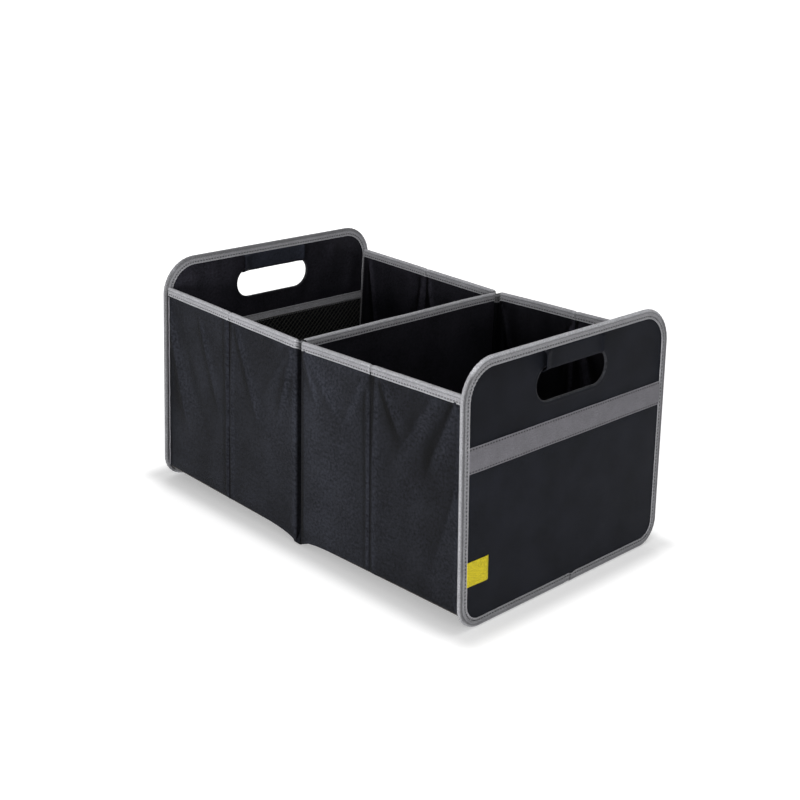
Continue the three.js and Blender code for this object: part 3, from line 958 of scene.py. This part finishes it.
class AddTab(bpy.types.Operator):
    """Adds the bare yellow tab, a ribbon held by the binding"""
    bl_idname = "storage_box.tab"
    bl_label = "Tab"

    def execute(self, context):
        low, high = box("plain_tab")
        length, width = high.y - low.y, high.z - low.z
        plane = PANEL_X - 0.00015

        def place(along, across):
            free = smooth(along / length)
            lift = 0.0005 * free + 0.00012 * ripple(along, across, 51, 0.02)
            end = 0.0004 * bell(length, along, 0.0012)
            return plane + lift - end, low.y - 0.001 + along * 1.03, low.z + across

        dress(lay_flat(length, width, 24, 22), place, RIBBON, "tab_ribbon", "tab", "plain_tab",
              bevel=(0.0003, 3))
        return {"FINISHED"}


class AddNet(bpy.types.Operator):
    """Knits the net pocket inside the rear end and sews the hem on it"""
    bl_idname = "storage_box.net"
    bl_label = "Net pocket"

    def execute(self, context):
        sizes = chosen()
        low = box("net_pocket")[0].z
        radius = sizes.corner_bottom - low
        height = HEM_LOW + 0.002 - low
        span = 2 * POCKET_HALF
        pitch = sizes.net_pitch
        cells = int((span + height) / pitch) + 2
        piece = on_its_own(bpy.ops.mesh.primitive_grid_add, x_subdivisions=cells,
                           y_subdivisions=cells, size=cells * pitch)
        turn = (bpy.ops.transform.rotate, {"value": math.radians(45), "orient_axis": "Z",
                                           "center_override": (0, 0, 0)})
        cuts = [(bpy.ops.mesh.bisect, {"plane_co": spot, "plane_no": normal, "clear_outer": True})
                for spot, normal in (
                    ((POCKET_HALF, 0, 0), (1, 0, 0)), ((-POCKET_HALF, 0, 0), (-1, 0, 0)),
                    ((0, height / 2, 0), (0, 1, 0)), ((0, -height / 2, 0), (0, -1, 0)))]
        edit(piece, turn, *cuts)

        def place(x, y, z):
            tall = low + y + height / 2
            half = rounded_half(tall - low, POCKET_HALF, radius)
            belly = 0.0010 * np.cos(x / POCKET_HALF * math.pi / 2) * smooth((y + height / 2) / 0.03)
            return -(NET_X - belly), x * half / POCKET_HALF, tall

        put(piece, place)
        map_flat(piece)
        apply(piece, "WIREFRAME", thickness=0.0016, use_even_offset=False, use_boundary=True)
        finished(piece, "knitted_net", "net", "shell", "net_pocket")
        webbing(-1, "net_hem", HEM_X, HEM_LOW, HEM_TOP, -0.0004, 61, "tape")
        return {"FINISHED"}


# Side walls

def sag_at(x):
    return SAG * (1 - np.minimum(np.abs(x) / WALL_END, 1))


def side_route(depth, turn, inside):
    """One long side in plan, (x, distance inwards), from the front end to the rear end."""
    back = WALL_FACE - TUCK_BACK - depth
    mouth = WALL_START - 0.0006
    return Route(rounded([
        (WALL_END, inside, 0), (mouth, inside, turn), (mouth, back, 0.0012),
        (-mouth, back, 0.0012), (-mouth, inside, turn), (-WALL_END, inside, 0)], 0.0004))


def line_fold(x, z, start, end, narrow, wide):
    """A straight soft fold from start to end that widens and fades on its way."""
    run = np.array(end) - np.array(start)
    size = np.hypot(*run)
    t = ((x - start[0]) * run[0] + (z - start[1]) * run[1]) / size ** 2
    off = ((x - start[0]) * -run[1] + (z - start[1]) * run[0]) / size
    spread = narrow + (wide - narrow) * np.clip(t, 0, 1)
    crest = 0.45 * bell(off, 0.0, spread) + 0.55 * np.exp(-np.abs(off) / (0.6 * spread))
    return crest * smooth((t + 0.05) / 0.1) * smooth((1 - t) / 0.5)


WALL_FOLD = (WALL_START + WALL_END) / 2


def fold_at(x, side):
    """Where the cloth of a wall half creases: its board gap, or beside it on the left front."""
    return np.where((x > 0) & (side < 0), 0.1150, WALL_FOLD)


def wall_relief(x, z, seed, fans, side=1, depth=0.0013):
    """How far the cloth of a side wall sinks between and beside its boards."""
    top = WALL_STACK_TOP - sag_at(x)
    fold = fold_at(x, side)
    near = np.abs(np.abs(x) - fold)
    wander = 0.0004 * np.sin(z * 38 + seed) * np.sin(z * 11)
    line = np.abs(np.abs(x) - fold - wander)
    shallow = np.where(fold == WALL_FOLD, 1.0, 0.0)
    valley = depth * bell(line, 0.0, 0.0012) * shallow
    soft = 0.0004 * (1 + ripple(x, z, seed, 0.075))
    soft = soft + 0.00028 * (1 + ripple(x, z * 0.3, seed + 5, 0.030))
    for start, end, narrow, wide, deep in fans:
        soft = soft + 1.7 * deep * line_fold(x, z, start, end, narrow, wide)
    beside = 0.0038 + 0.0030 * smooth((z - 0.12) / 0.10)
    soft = soft + 0.0008 * bell(near, beside, 0.0042)
    soft = soft * smooth((near - 0.0006) / 0.0035)
    soft = np.log1p(np.exp(soft / 0.0003)) * 0.0003
    hold = smooth((top - z) / 0.014) * smooth((z - WALL_BOTTOM + sag_at(x)) / 0.012)
    edge = smooth((WALL_END - np.abs(x)) / 0.008) * smooth((np.abs(x) - WALL_START) / 0.006)
    return valley - (0.15 + 0.85 * hold) * edge * soft


def wall_tone(x, z, seed, fans, side=1):
    """Painted light and shade on the folds of a side wall: flanks that face +x or up are drawn
    lighter, the others darker, with a painted shade line down each crease.
    """
    step = 0.0006
    slope = wall_relief(x + step, z, seed, fans, side) - wall_relief(x - step, z, seed, fans, side)
    rise = wall_relief(x, z + step, seed, fans, side) - wall_relief(x, z - step, seed, fans, side)
    near = np.abs(np.abs(x) - fold_at(x, side))
    wide = 0.0018 + 0.0040 * smooth((z - 0.14) / 0.09)
    crease = 0.58 * bell(near, 0.0, 0.0014)
    crease = crease + 0.50 * bell(near, 0.0, wide) * smooth((z - 0.04) / 0.14)
    return (3.4 * slope + 2.2 * rise) / (2 * step) - crease


# Soft folds of the left side: where each starts and ends, its width there and its depth.
LEFT_FOLDS = (
    ((-0.238, 0.222), (-0.158, 0.060), 0.006, 0.013, -0.0013),
    ((-0.246, 0.215), (-0.196, 0.050), 0.005, 0.012, 0.0013),
    ((-0.180, 0.215), (-0.134, 0.090), 0.004, 0.011, 0.0009),
    ((-0.112, 0.226), (-0.060, 0.100), 0.004, 0.012, 0.0010),
    ((-0.009, 0.228), (-0.042, 0.120), 0.0045, 0.009, 0.0011),
    ((-0.007, 0.226), (-0.022, 0.150), 0.0040, 0.008, -0.0008),
    ((-0.012, 0.228), (-0.075, 0.140), 0.0050, 0.012, 0.0010),
    ((0.008, 0.228), (0.034, 0.165), 0.0045, 0.009, 0.0012),
    ((0.008, 0.230), (0.080, 0.150), 0.0050, 0.014, 0.0010),
    ((0.116, 0.228), (0.080, 0.170), 0.0050, 0.011, -0.0009),
    ((0.104, 0.226), (0.060, 0.140), 0.004, 0.012, 0.0007),
    ((0.131, 0.226), (0.166, 0.165), 0.004, 0.011, 0.0010),
    ((0.238, 0.236), (0.188, 0.130), 0.005, 0.015, 0.0015),
    ((0.224, 0.236), (0.150, 0.110), 0.006, 0.016, -0.0012),
    ((0.210, 0.236), (0.136, 0.130), 0.006, 0.014, 0.0010),
    ((0.240, 0.150), (0.200, 0.030), 0.008, 0.018, 0.0008),
)


def wall_fans(seed):
    """Folds that run down from the upper corners of the wall halves, and across them."""
    dice = np.random.default_rng(seed)
    fans = []
    for end in (1, -1):
        for corner, way in ((0.010, 1), (WALL_END - 0.012, -1), (WALL_FOLD + 0.006, 1),
                            (WALL_FOLD - 0.006, -1)):
            high = 0.232 - 0.0075 * (1 - corner / WALL_END)
            for k in range(3):
                reach = dice.uniform(0.05, 0.15)
                slant = dice.uniform(0.12, 0.50) * (k + 1) / 2
                start = (end * corner, high - dice.uniform(0, 0.01))
                to = (end * (corner + way * reach * slant), high - reach)
                sign = 1 if k % 2 == 0 else -1
                fans.append((start, to, 0.0030, dice.uniform(0.007, 0.014),
                             sign * dice.uniform(0.0006, 0.0012)))
    return fans


def foot_at(x):
    """The lower edge of a side, which droops to the ground at the tuck."""
    deep = 0.0082 - 0.0012 * smooth((x - 0.001) / 0.006)
    droop = deep * np.exp(-np.maximum(np.abs(x) - 0.003, 0) / 0.020)
    return WALL_BOTTOM - sag_at(x) - droop


def side_cloth(side, name, seed, *replaced):
    """Outer cloth of one long side, in one piece through the tuck at its middle."""
    route = side_route(0.0003, 0.0015, 0.0003)
    fans = LEFT_FOLDS if side < 0 else wall_fans(seed)
    roll = 0.0016
    turned = roll * math.pi / 2 + 0.001
    height = WALL_STACK_TOP - WALL_BOTTOM

    def place(along, across):
        x, inwards = route.at(along)
        tucked = smooth((inwards - 0.0006) / 0.003)
        low = foot_at(x)
        top = WALL_STACK_TOP - sag_at(x)
        up = across - turned
        bend = np.clip(-up / roll + 1, 0, math.pi / 2)
        straight = np.clip((up - roll) / (height - roll), 0, 1)
        z = low + roll * (1 - np.sin(bend)) + straight * (top - low - roll)
        z = np.where(up > roll, low + roll + straight * (top - low - roll), z)
        curl = roll * (1 - np.cos(bend)) + np.maximum(-up + roll - roll * math.pi / 2, 0)
        relief = wall_relief(x, z, seed, fans, side) * (1 - tucked)
        bulge = 0.0016 * bell(z - low, 0.008, 0.006) * tucked
        curl = curl * smooth((np.abs(x) - WALL_START - 0.0015) / 0.007)
        px, pin = route.at(along, -(relief + curl))
        pin = pin * (1 - 0.85 * tucked * bell(z, low, 0.0055))
        px = px + np.sign(px) * bulge
        return px, side * (WALL_FACE - pin), z

    # Painted light and shade on the cloth: painted shade down in the tuck, less at the gathered
    # foot, and beside it on the +x side, a slightly lighter lip on the −x side, painted light and
    # shade on the folds, a painted shade towards the front end and a painted highlight near x = 45
    # mm, over tone that differs at random.
    def tone(along, across):
        x, inwards = route.at(along)
        tucked = smooth((inwards - 0.0004) / 0.0022)
        z = place(along, across)[2]
        beside = np.exp(-np.maximum(np.abs(x) - WALL_START, 0) / 0.0035)
        painted_groove_shade = np.where(x > 0, -0.55, 0.10) * beside
        shade = 0.16 * ripple(x, z, seed + 9, 0.19, 4) - 0.16 * smooth((x - 0.09) / 0.09)
        folds = np.clip(wall_tone(x, z, seed, fans, side), -0.6, 0.42)
        shade = shade + 0.42 * bell(x, 0.045, 0.040)
        gathered = bell(z, foot_at(x), 0.006)
        return (folds + shade) * (1 - tucked) + painted_groove_shade - 0.6 * tucked * (1 - 0.6 * gathered)

    run = np.linspace(0, route.length, 4001)
    level = route.at(run)[0]
    folds = [run[np.argmin(np.abs(level - end * fold_at(end * 0.1, side)))] for end in (1, -1)]
    piece = crowd(lay_flat(route.length, height + turned, 600, 41), folds + [route.length / 2])
    dress(piece, place, chosen().cloth, name, "shell", *replaced, tone=tone)


def side_tape(side, name, *replaced):
    """Tape over the top edge of one long side, which dips into the tuck."""
    sizes = chosen()
    thin = 0.0024
    middle, back, mouth = 0.0014, 0.0078, 0.0046
    route = Route(rounded([
        (WALL_END, middle, 0), (mouth, middle, 0.0034), (mouth, back, 0.0016),
        (-mouth, back, 0.0016), (-mouth, middle, 0.0034), (-WALL_END, middle, 0)], 0.0004))
    reach = fold_reach(WALL_STACK, sizes.top_leg, sizes.tape)

    def place(along, across):
        x, inwards = route.at(along)
        tucked = smooth((inwards - middle) / 0.004)
        side_off, drop = tape_fold(across, WALL_STACK, sizes.tape)
        dip = seam_dip(drop)
        leg = smooth((drop - 0.002) / 0.006)
        wave = 0.00020 * ripple(along, across * 0.3, 71 + side, 0.045)
        near = bell(np.abs(x), fold_at(x, side), 0.0020)
        wide = np.abs(side_off) - dip + leg * wave - 0.0016 * near * leg
        wide = wide * (1 - tucked * (1 - thin / WALL_STACK))
        px, pin = route.at(along, -np.sign(side_off) * wide)
        top = WALL_TOP - sag_at(x) - 0.0022 * tucked - 0.0009 * near
        top = top - drop + 0.00020 * ripple(along, 0 * across, 75, 0.08)
        return px, side * (WALL_FACE - pin), top

    # Painted light and shade on the tape: lighter towards the rear, painted shade down in the tuck
    # and at the fold notches, and a painted highlight just beside each notch.
    def tone(along, across):
        x, inwards = route.at(along)
        tucked = smooth((inwards - middle) / 0.0030)
        near = bell(np.abs(x), fold_at(x, side), 0.0010)
        level = 0.10 - 0.18 * smooth((x + 0.05) / 0.10)
        lit = bell(fold_at(x, side) - np.abs(x), 0.0022, 0.0010)
        return level - 0.78 * tucked - 0.42 * near + 0.20 * lit

    dress(lay_tape(route.length, reach, 420, 20), place, sizes.tape, name, "tape", *replaced,
          tone=tone)
    sew_legs(name, place, route.length, -side)


def wall_lining(side, end, name, seed):
    """Inner cloth of one half of a long side, with the ridge of its fold."""
    length = WALL_END - WALL_START + 0.001
    bottom = WALL_BOTTOM + BASE_GAP
    height = WALL_STACK_TOP - bottom
    fans = wall_fans(seed)

    def place(along, across):
        x = end * (WALL_START - 0.0005 + along)
        z = bottom + across - sag_at(x)
        relief = wall_relief(x, z, seed, fans, depth=0.0022)
        return x, side * (LINING_Y + relief), z

    # Painted light and shade: on the right side the front lining is drawn in painted shade and the
    # rear lining a little lighter, with painted light and shade on the folds as on the outer cloth.
    def tone(along, across):
        x = end * (WALL_START - 0.0005 + along)
        level = 0.0 if side < 0 else (0.15 if end < 0 else -0.50)
        return level + wall_tone(x, bottom + across - sag_at(x), seed, fans)

    piece = crowd(lay_flat(length, height, 170, 46), [WALL_FOLD - WALL_START + 0.0005])
    dress(piece, place, chosen().thin_cloth, f"{name}_cloth", "lining", name, tone=tone)


class AddSideCloths(bpy.types.Operator):
    """Hangs the outer cloth of both long sides, with the tucks and the folds"""
    bl_idname = "storage_box.side_cloths"
    bl_label = "Side cloths"

    def execute(self, context):
        for side, place, seed in ((-1, "left", 81), (1, "right", 84)):
            side_cloth(side, f"{place}_side_cloth", seed, f"{place}_front_wall_cloth",
                       f"{place}_rear_wall_cloth", f"{place}_tuck")
        return {"FINISHED"}


class AddSideTapes(bpy.types.Operator):
    """Folds the grey tape over the top edges of both long sides"""
    bl_idname = "storage_box.side_tapes"
    bl_label = "Side tapes"

    def execute(self, context):
        for side, place in SIDES:
            side_tape(side, f"{place}_side_tape", f"{place}_front_wall_binding",
                      f"{place}_rear_wall_binding")
        return {"FINISHED"}


def corner_seam(side, end, name):
    """Narrow piping where a side cloth is sewn to the lining of an end panel."""
    low = WALL_BOTTOM + 0.003
    length, width = WALL_TOP - 0.011 - low, 0.0017

    def place(along, across):
        x = end * (WALL_END - 0.0002 - across)
        bow = 0.0006 * np.sin(across / width * math.pi)
        bow = bow + 0.0002 * ripple(along, across, 151, 0.02)
        return x, side * (WALL_FACE + 0.0005 + bow), low + along - sag_at(x)

    dress(lay_flat(length, width, 120, 5), place, chosen().cloth, name, "band")


class AddCornerSeams(bpy.types.Operator):
    """Sews narrow piping up the four corners between the sides and the end panels"""
    bl_idname = "storage_box.corner_seams"
    bl_label = "Corner seams"

    def execute(self, context):
        for side, left in SIDES:
            for end, front in ENDS:
                corner_seam(side, end, f"{left}_{front}_corner_piping")
        return {"FINISHED"}


class AddWallLinings(bpy.types.Operator):
    """Hangs the inner cloth of the four wall halves"""
    bl_idname = "storage_box.wall_linings"
    bl_label = "Wall linings"

    def execute(self, context):
        seed = 91
        for side, left in SIDES:
            for end, front in ENDS:
                wall_lining(side, end, f"{left}_{front}_wall_lining", seed)
                seed += 3
        return {"FINISHED"}


# Divider, base and floor

class AddDivider(bpy.types.Operator):
    """Covers the divider with cloth on both faces and tape along its top"""
    bl_idname = "storage_box.divider"
    bl_label = "Divider"

    def execute(self, context):
        sizes = chosen()
        high = box("divider_cloth_front")[1].z
        height = high - DIVIDER_LOW
        span = 2 * DIVIDER_HALF
        for way, front in ENDS:
            name = f"divider_cloth_{front}"
            plane = way * sum(c.x for c in box("divider_cloth_front")) / 2

            def place(along, across):
                edge = smooth(np.minimum(along, span - along) / 0.02)
                relief = 0.0006 * ripple(along, across * 0.4, 101 + way, 0.06) * edge
                return plane + relief, along - DIVIDER_HALF, DIVIDER_LOW + across

            piece = dress(lay_flat(span, height, 64, 40), place, sizes.thin_cloth,
                          f"{name}_sheet", "lining", name)
        reach = fold_reach(WALL_STACK, sizes.top_leg, sizes.tape)
        half = DIVIDER_HALF - 0.0005

        def tape_place(along, across):
            side, drop = tape_fold(across, WALL_STACK, sizes.tape)
            leg = smooth((drop - 0.002) / 0.006)
            wave = 0.00022 * ripple(along, across * 0.3, 111, 0.05)
            wide = np.abs(side) - seam_dip(drop) + leg * wave
            top = DIVIDER_TOP + 0.00025 * ripple(along, 0 * across, 112, 0.09)
            return -np.sign(side) * wide, along - half, top - drop

        dress(lay_tape(2 * half, reach, 200, 20), tape_place, sizes.tape, "divider_tape",
              "tape", "divider_binding")
        sew_legs("divider_tape", tape_place, 2 * half, 1, ("rear", "front"))
        return {"FINISHED"}


class AddBase(bpy.types.Operator):
    """Spreads the two base cloths under the floor boards"""
    bl_idname = "storage_box.base"
    bl_label = "Base cloths"

    def execute(self, context):
        for end, front in ENDS:
            name = f"{front}_base_cloth"
            wide = box(name)[1].y
            length = WALL_END - 0.0002

            def place(along, across):
                x = 0.0002 + along
                narrow = smooth((x - 0.0045) / 0.0006)
                half = (TUCK_BACK - 0.0004) * (1 - narrow) + wide * narrow
                y = (across / wide - 1) * half
                edge = smooth((wide - np.abs(y)) / 0.02)
                relief = 0.0004 * ripple(x, y, 121 + end, 0.09) * edge
                return end * x, y, WALL_BOTTOM + 0.0002 - sag_at(x) + relief

            piece = crowd(lay_flat(length, 2 * wide, 130, 24), [0.0046], 0.75, 0.006)
            dress(piece, place, chosen().cloth, f"{name}_sheet", "shell", name)
        return {"FINISHED"}


class AddFloors(bpy.types.Operator):
    """Sleeves the two floor boards that lift at the divider, each with its pull tab"""
    bl_idname = "storage_box.floors"
    bl_label = "Floor boards"

    def execute(self, context):
        for end, front in ENDS:
            self.sleeve(end, front)
            self.pull(end, front)
        return {"FINISHED"}

    def sleeve(self, end, front):
        name = f"{front}_floor_sleeve"
        low, high = box(name)
        start, stop = sorted((abs(low.x), abs(high.x)))
        wide = high.y
        middle = WALL_BOTTOM + BASE_GAP + BOARD_SLEEVE / 2

        def place(along, across):
            x = start + along
            away = np.minimum(along, stop - start - along)
            y = (across / wide - 1) * rounded_half(away, wide, 0.005)
            edge = np.minimum(away, wide - np.abs(y))
            seam = -0.00035 * bell(edge, 0.006, 0.0012)
            relief = 0.0003 * ripple(x, y, 131 + end, 0.08) * smooth(edge / 0.02)
            return end * x, y, middle - sag_at(x) + relief * 0.5 + seam * 0.2

        piece = dress(lay_flat(stop - start, 2 * wide, 60, 60), place, BOARD_SLEEVE,
                      f"{name}_cloth", "lining", name, body=f"{front}_floor", leans=False,
                      bevel=(0.0012, 3))

    def pull(self, end, front):
        name = f"{front}_pull_tab"
        low, high = box(name)
        near, far = sorted((abs(low.x), abs(high.x)))
        half = high.y
        base = WALL_BOTTOM + BASE_GAP + BOARD_SLEEVE + 0.0005
        turn = 0.00045
        route = Route(rounded([(far, base, 0), (near, base, turn), (near, base + 0.0010, turn),
                               (far, base + 0.0010, 0)], 0.0002))

        def place(along, across):
            x, z = route.at(along)
            away = smooth((along - route.length * 0.5) / 0.02)
            lift = 0.0006 * away * np.sin((far - x) / (far - near) * math.pi)
            return end * x, across - half, z - sag_at(x) + lift

        dress(lay_flat(route.length, 2 * half, 56, 14), place, chosen().cloth,
              f"{name}_ribbon", "tape", name, body=f"{front}_floor", leans=False)


class FinishBoards(bpy.types.Operator):
    """Gives the boards inside the cloth their fibre-board finish"""
    bl_idname = "storage_box.boards"
    bl_label = "Boards"

    def execute(self, context):
        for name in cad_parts:
            if "board" not in name:
                continue
            piece = bpy.data.objects.get(name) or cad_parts[name]
            piece.data.materials.clear()
            piece.data.materials.append(finishes()["board"])
        return {"FINISHED"}


# Studio

LAMPS = (("key", (0.6, -1.9, 0.32), 0.6, 28), ("fill", (2.6, -0.5, 0.9), 1.2, 9),
         ("back", (-2.0, 1.9, 1.2), 1.4, 12), ("top", (0.2, 0.5, 2.6), 1.8, 15))
ROOM_LIGHT = 0.30
FLOOR_SIZE = 24.0
FLOOR_DROP = 0.0004
CAMERA_ANGLES = (45.424, 20.302, 1.805)
CAMERA_SHIFT = (-0.003388, 0.004154)
CAMERA_DISTANCE = 1.49412
CAMERA_LENS = 58.75


class AddStudio(bpy.types.Operator):
    """Sets up the pale floor, the soft lamps and the camera"""
    bl_idname = "storage_box.studio"
    bl_label = "Studio"

    def execute(self, context):
        for step in (self.floor, self.lamps, self.camera):
            step(context)
        context.scene.view_settings.view_transform = "Standard"
        return {"FINISHED"}

    def seen(self, finish):
        """1 where the camera, a gloss or a glass looks at this directly."""
        camera, gloss, glass = (
            finish.node("ShaderNodeLightPath", output=f"Is {kind} Ray")
            for kind in ("Camera", "Glossy", "Transmission"))
        return finish.maths("MAXIMUM", camera, finish.maths("MAXIMUM", gloss, glass))

    def floor(self, context):
        floor = on_its_own(bpy.ops.mesh.primitive_plane_add, size=FLOOR_SIZE)
        floor.name = "studio_floor"
        edit(floor, (bpy.ops.transform.translate, {"value": (0, 0, -FLOOR_DROP)}))
        finish = Finish("studio_floor")
        lit = finish.node("ShaderNodeBsdfDiffuse", None, {
            "Color": (*context.scene.storage_box_colours.floor, 1.0)})
        along, across = finish.split(finish.node("ShaderNodeTexCoord", output="Object"))
        beside = [finish.maths("MAXIMUM", value.size() - reach, 0.0)
                  for value, reach in ((along, PANEL_X + 0.009), (across, HALF_WIDTH - 0.002))]
        away = finish.node("ShaderNodeVectorMath", {"operation": "LENGTH"},
                           {0: finish.join(*beside)}, output=1)
        # A painted shadow round the box: the floor's glow, seen only by the camera and by glossy
        # and glass rays, is lowest at the box's foot and rises to its full level 32 mm away, then a
        # little more far off to keep the distant floor white.
        far = finish.blend(away, 0.0, 0.032, 0.30, 0.68) + finish.blend(away, 0.2, 1.6, 0.0, 0.3)
        glow_with_painted_shadow = self.seen(finish) * far
        glow = finish.node("ShaderNodeEmission", None, {
            "Color": finish.join(glow_with_painted_shadow, glow_with_painted_shadow, glow_with_painted_shadow), "Strength": 1.0})
        both = finish.node("ShaderNodeAddShader", None, {0: lit, 1: glow})
        finish.node("ShaderNodeOutputMaterial", None, {"Surface": both})
        floor.data.materials.append(finish.owner)

    def lamps(self, context):
        """Four lamps, in a room that is dimmer for the box than for the camera."""
        context.scene.world = bpy.data.worlds.new("studio")
        room = Finish("studio", context.scene.world)
        camera = room.node("ShaderNodeLightPath", output="Is Camera Ray")
        dim, white = (room.node("ShaderNodeBackground", None, {
            "Color": (1, 1, 1, 1), "Strength": strength}) for strength in (ROOM_LIGHT, 1.0))
        mix = room.node("ShaderNodeMixShader", None, {0: camera, 1: dim, 2: white})
        room.node("ShaderNodeOutputWorld", None, {"Surface": mix})
        for name, spot, size, power in LAMPS:
            self.lamp(name, Vector(spot), size, power)

    def lamp(self, name, spot, size, power):
        light = bpy.data.lights.new(name, "AREA")
        light.shape = "DISK"
        light.size = size
        light.energy = power
        lamp = bpy.data.objects.new(name, light)
        bpy.context.collection.objects.link(lamp)
        lamp.location = spot
        lamp.rotation_euler = (Vector((0, 0, 0.12)) - spot).to_track_quat("-Z", "Y").to_euler()

    def camera(self, context):
        """A camera turned round the box, lifted and rolled, that looks a little beside it."""
        turn, lift, roll = (math.radians(angle) for angle in CAMERA_ANGLES)
        back = Vector((math.sin(turn) * math.cos(lift), -math.cos(turn) * math.cos(lift),
                       math.sin(lift)))
        right = Vector((math.cos(turn), math.sin(turn), 0))
        up = back.cross(right)
        aim = Vector((0, 0, 0.130)) + right * CAMERA_SHIFT[0] + up * CAMERA_SHIFT[1]
        across = right * math.cos(roll) + up * math.sin(roll)
        above = up * math.cos(roll) - right * math.sin(roll)
        lens = bpy.data.cameras.new("camera")
        lens.sensor_width = 36.0
        lens.sensor_fit = "HORIZONTAL"
        lens.lens = CAMERA_LENS
        lens.clip_start = 0.05
        camera = bpy.data.objects.new("camera", lens)
        bpy.context.collection.objects.link(camera)
        camera.matrix_world = Matrix.Translation(aim + back * CAMERA_DISTANCE) @ Matrix(
            (across, above, back)).transposed().to_4x4()
        context.scene.camera = camera


PIECES = (AddEndBindings, AddEndCloths, AddGrips, AddPockets, AddTab, AddNet, AddSideCloths,
          AddSideTapes, AddCornerSeams, AddWallLinings, AddDivider, AddBase, AddFloors,
          FinishBoards, AddStudio)


class StorageBoxPanel(bpy.types.Panel):
    """Lists the pieces of the storage box"""
    bl_idname = "VIEW3D_PT_storage_box"
    bl_label = "Storage box"
    bl_space_type = "VIEW_3D"
    bl_region_type = "UI"
    bl_category = "Storage box"

    def draw(self, context):
        for group in (context.scene.storage_box_sizes, context.scene.storage_box_colours):
            for key in group.bl_rna.properties.keys():
                if key not in ("rna_type", "name"):
                    self.layout.prop(group, key)
        for piece in PIECES:
            self.layout.operator(piece.bl_idname)


CLASSES = (BoxSizes, BoxColours) + PIECES + (StorageBoxPanel,)


def register():
    for entry in CLASSES:
        bpy.utils.register_class(entry)
    bpy.types.Scene.storage_box_sizes = PointerProperty(type=BoxSizes)
    bpy.types.Scene.storage_box_colours = PointerProperty(type=BoxColours)


def unregister():
    del bpy.types.Scene.storage_box_colours
    del bpy.types.Scene.storage_box_sizes
    for entry in reversed(CLASSES):
        bpy.utils.unregister_class(entry)


def main():
    register()
    for piece in PIECES:
        family, name = piece.bl_idname.split(".")
        getattr(getattr(bpy.ops, family), name)()


if __name__ == "__main__":
    main()
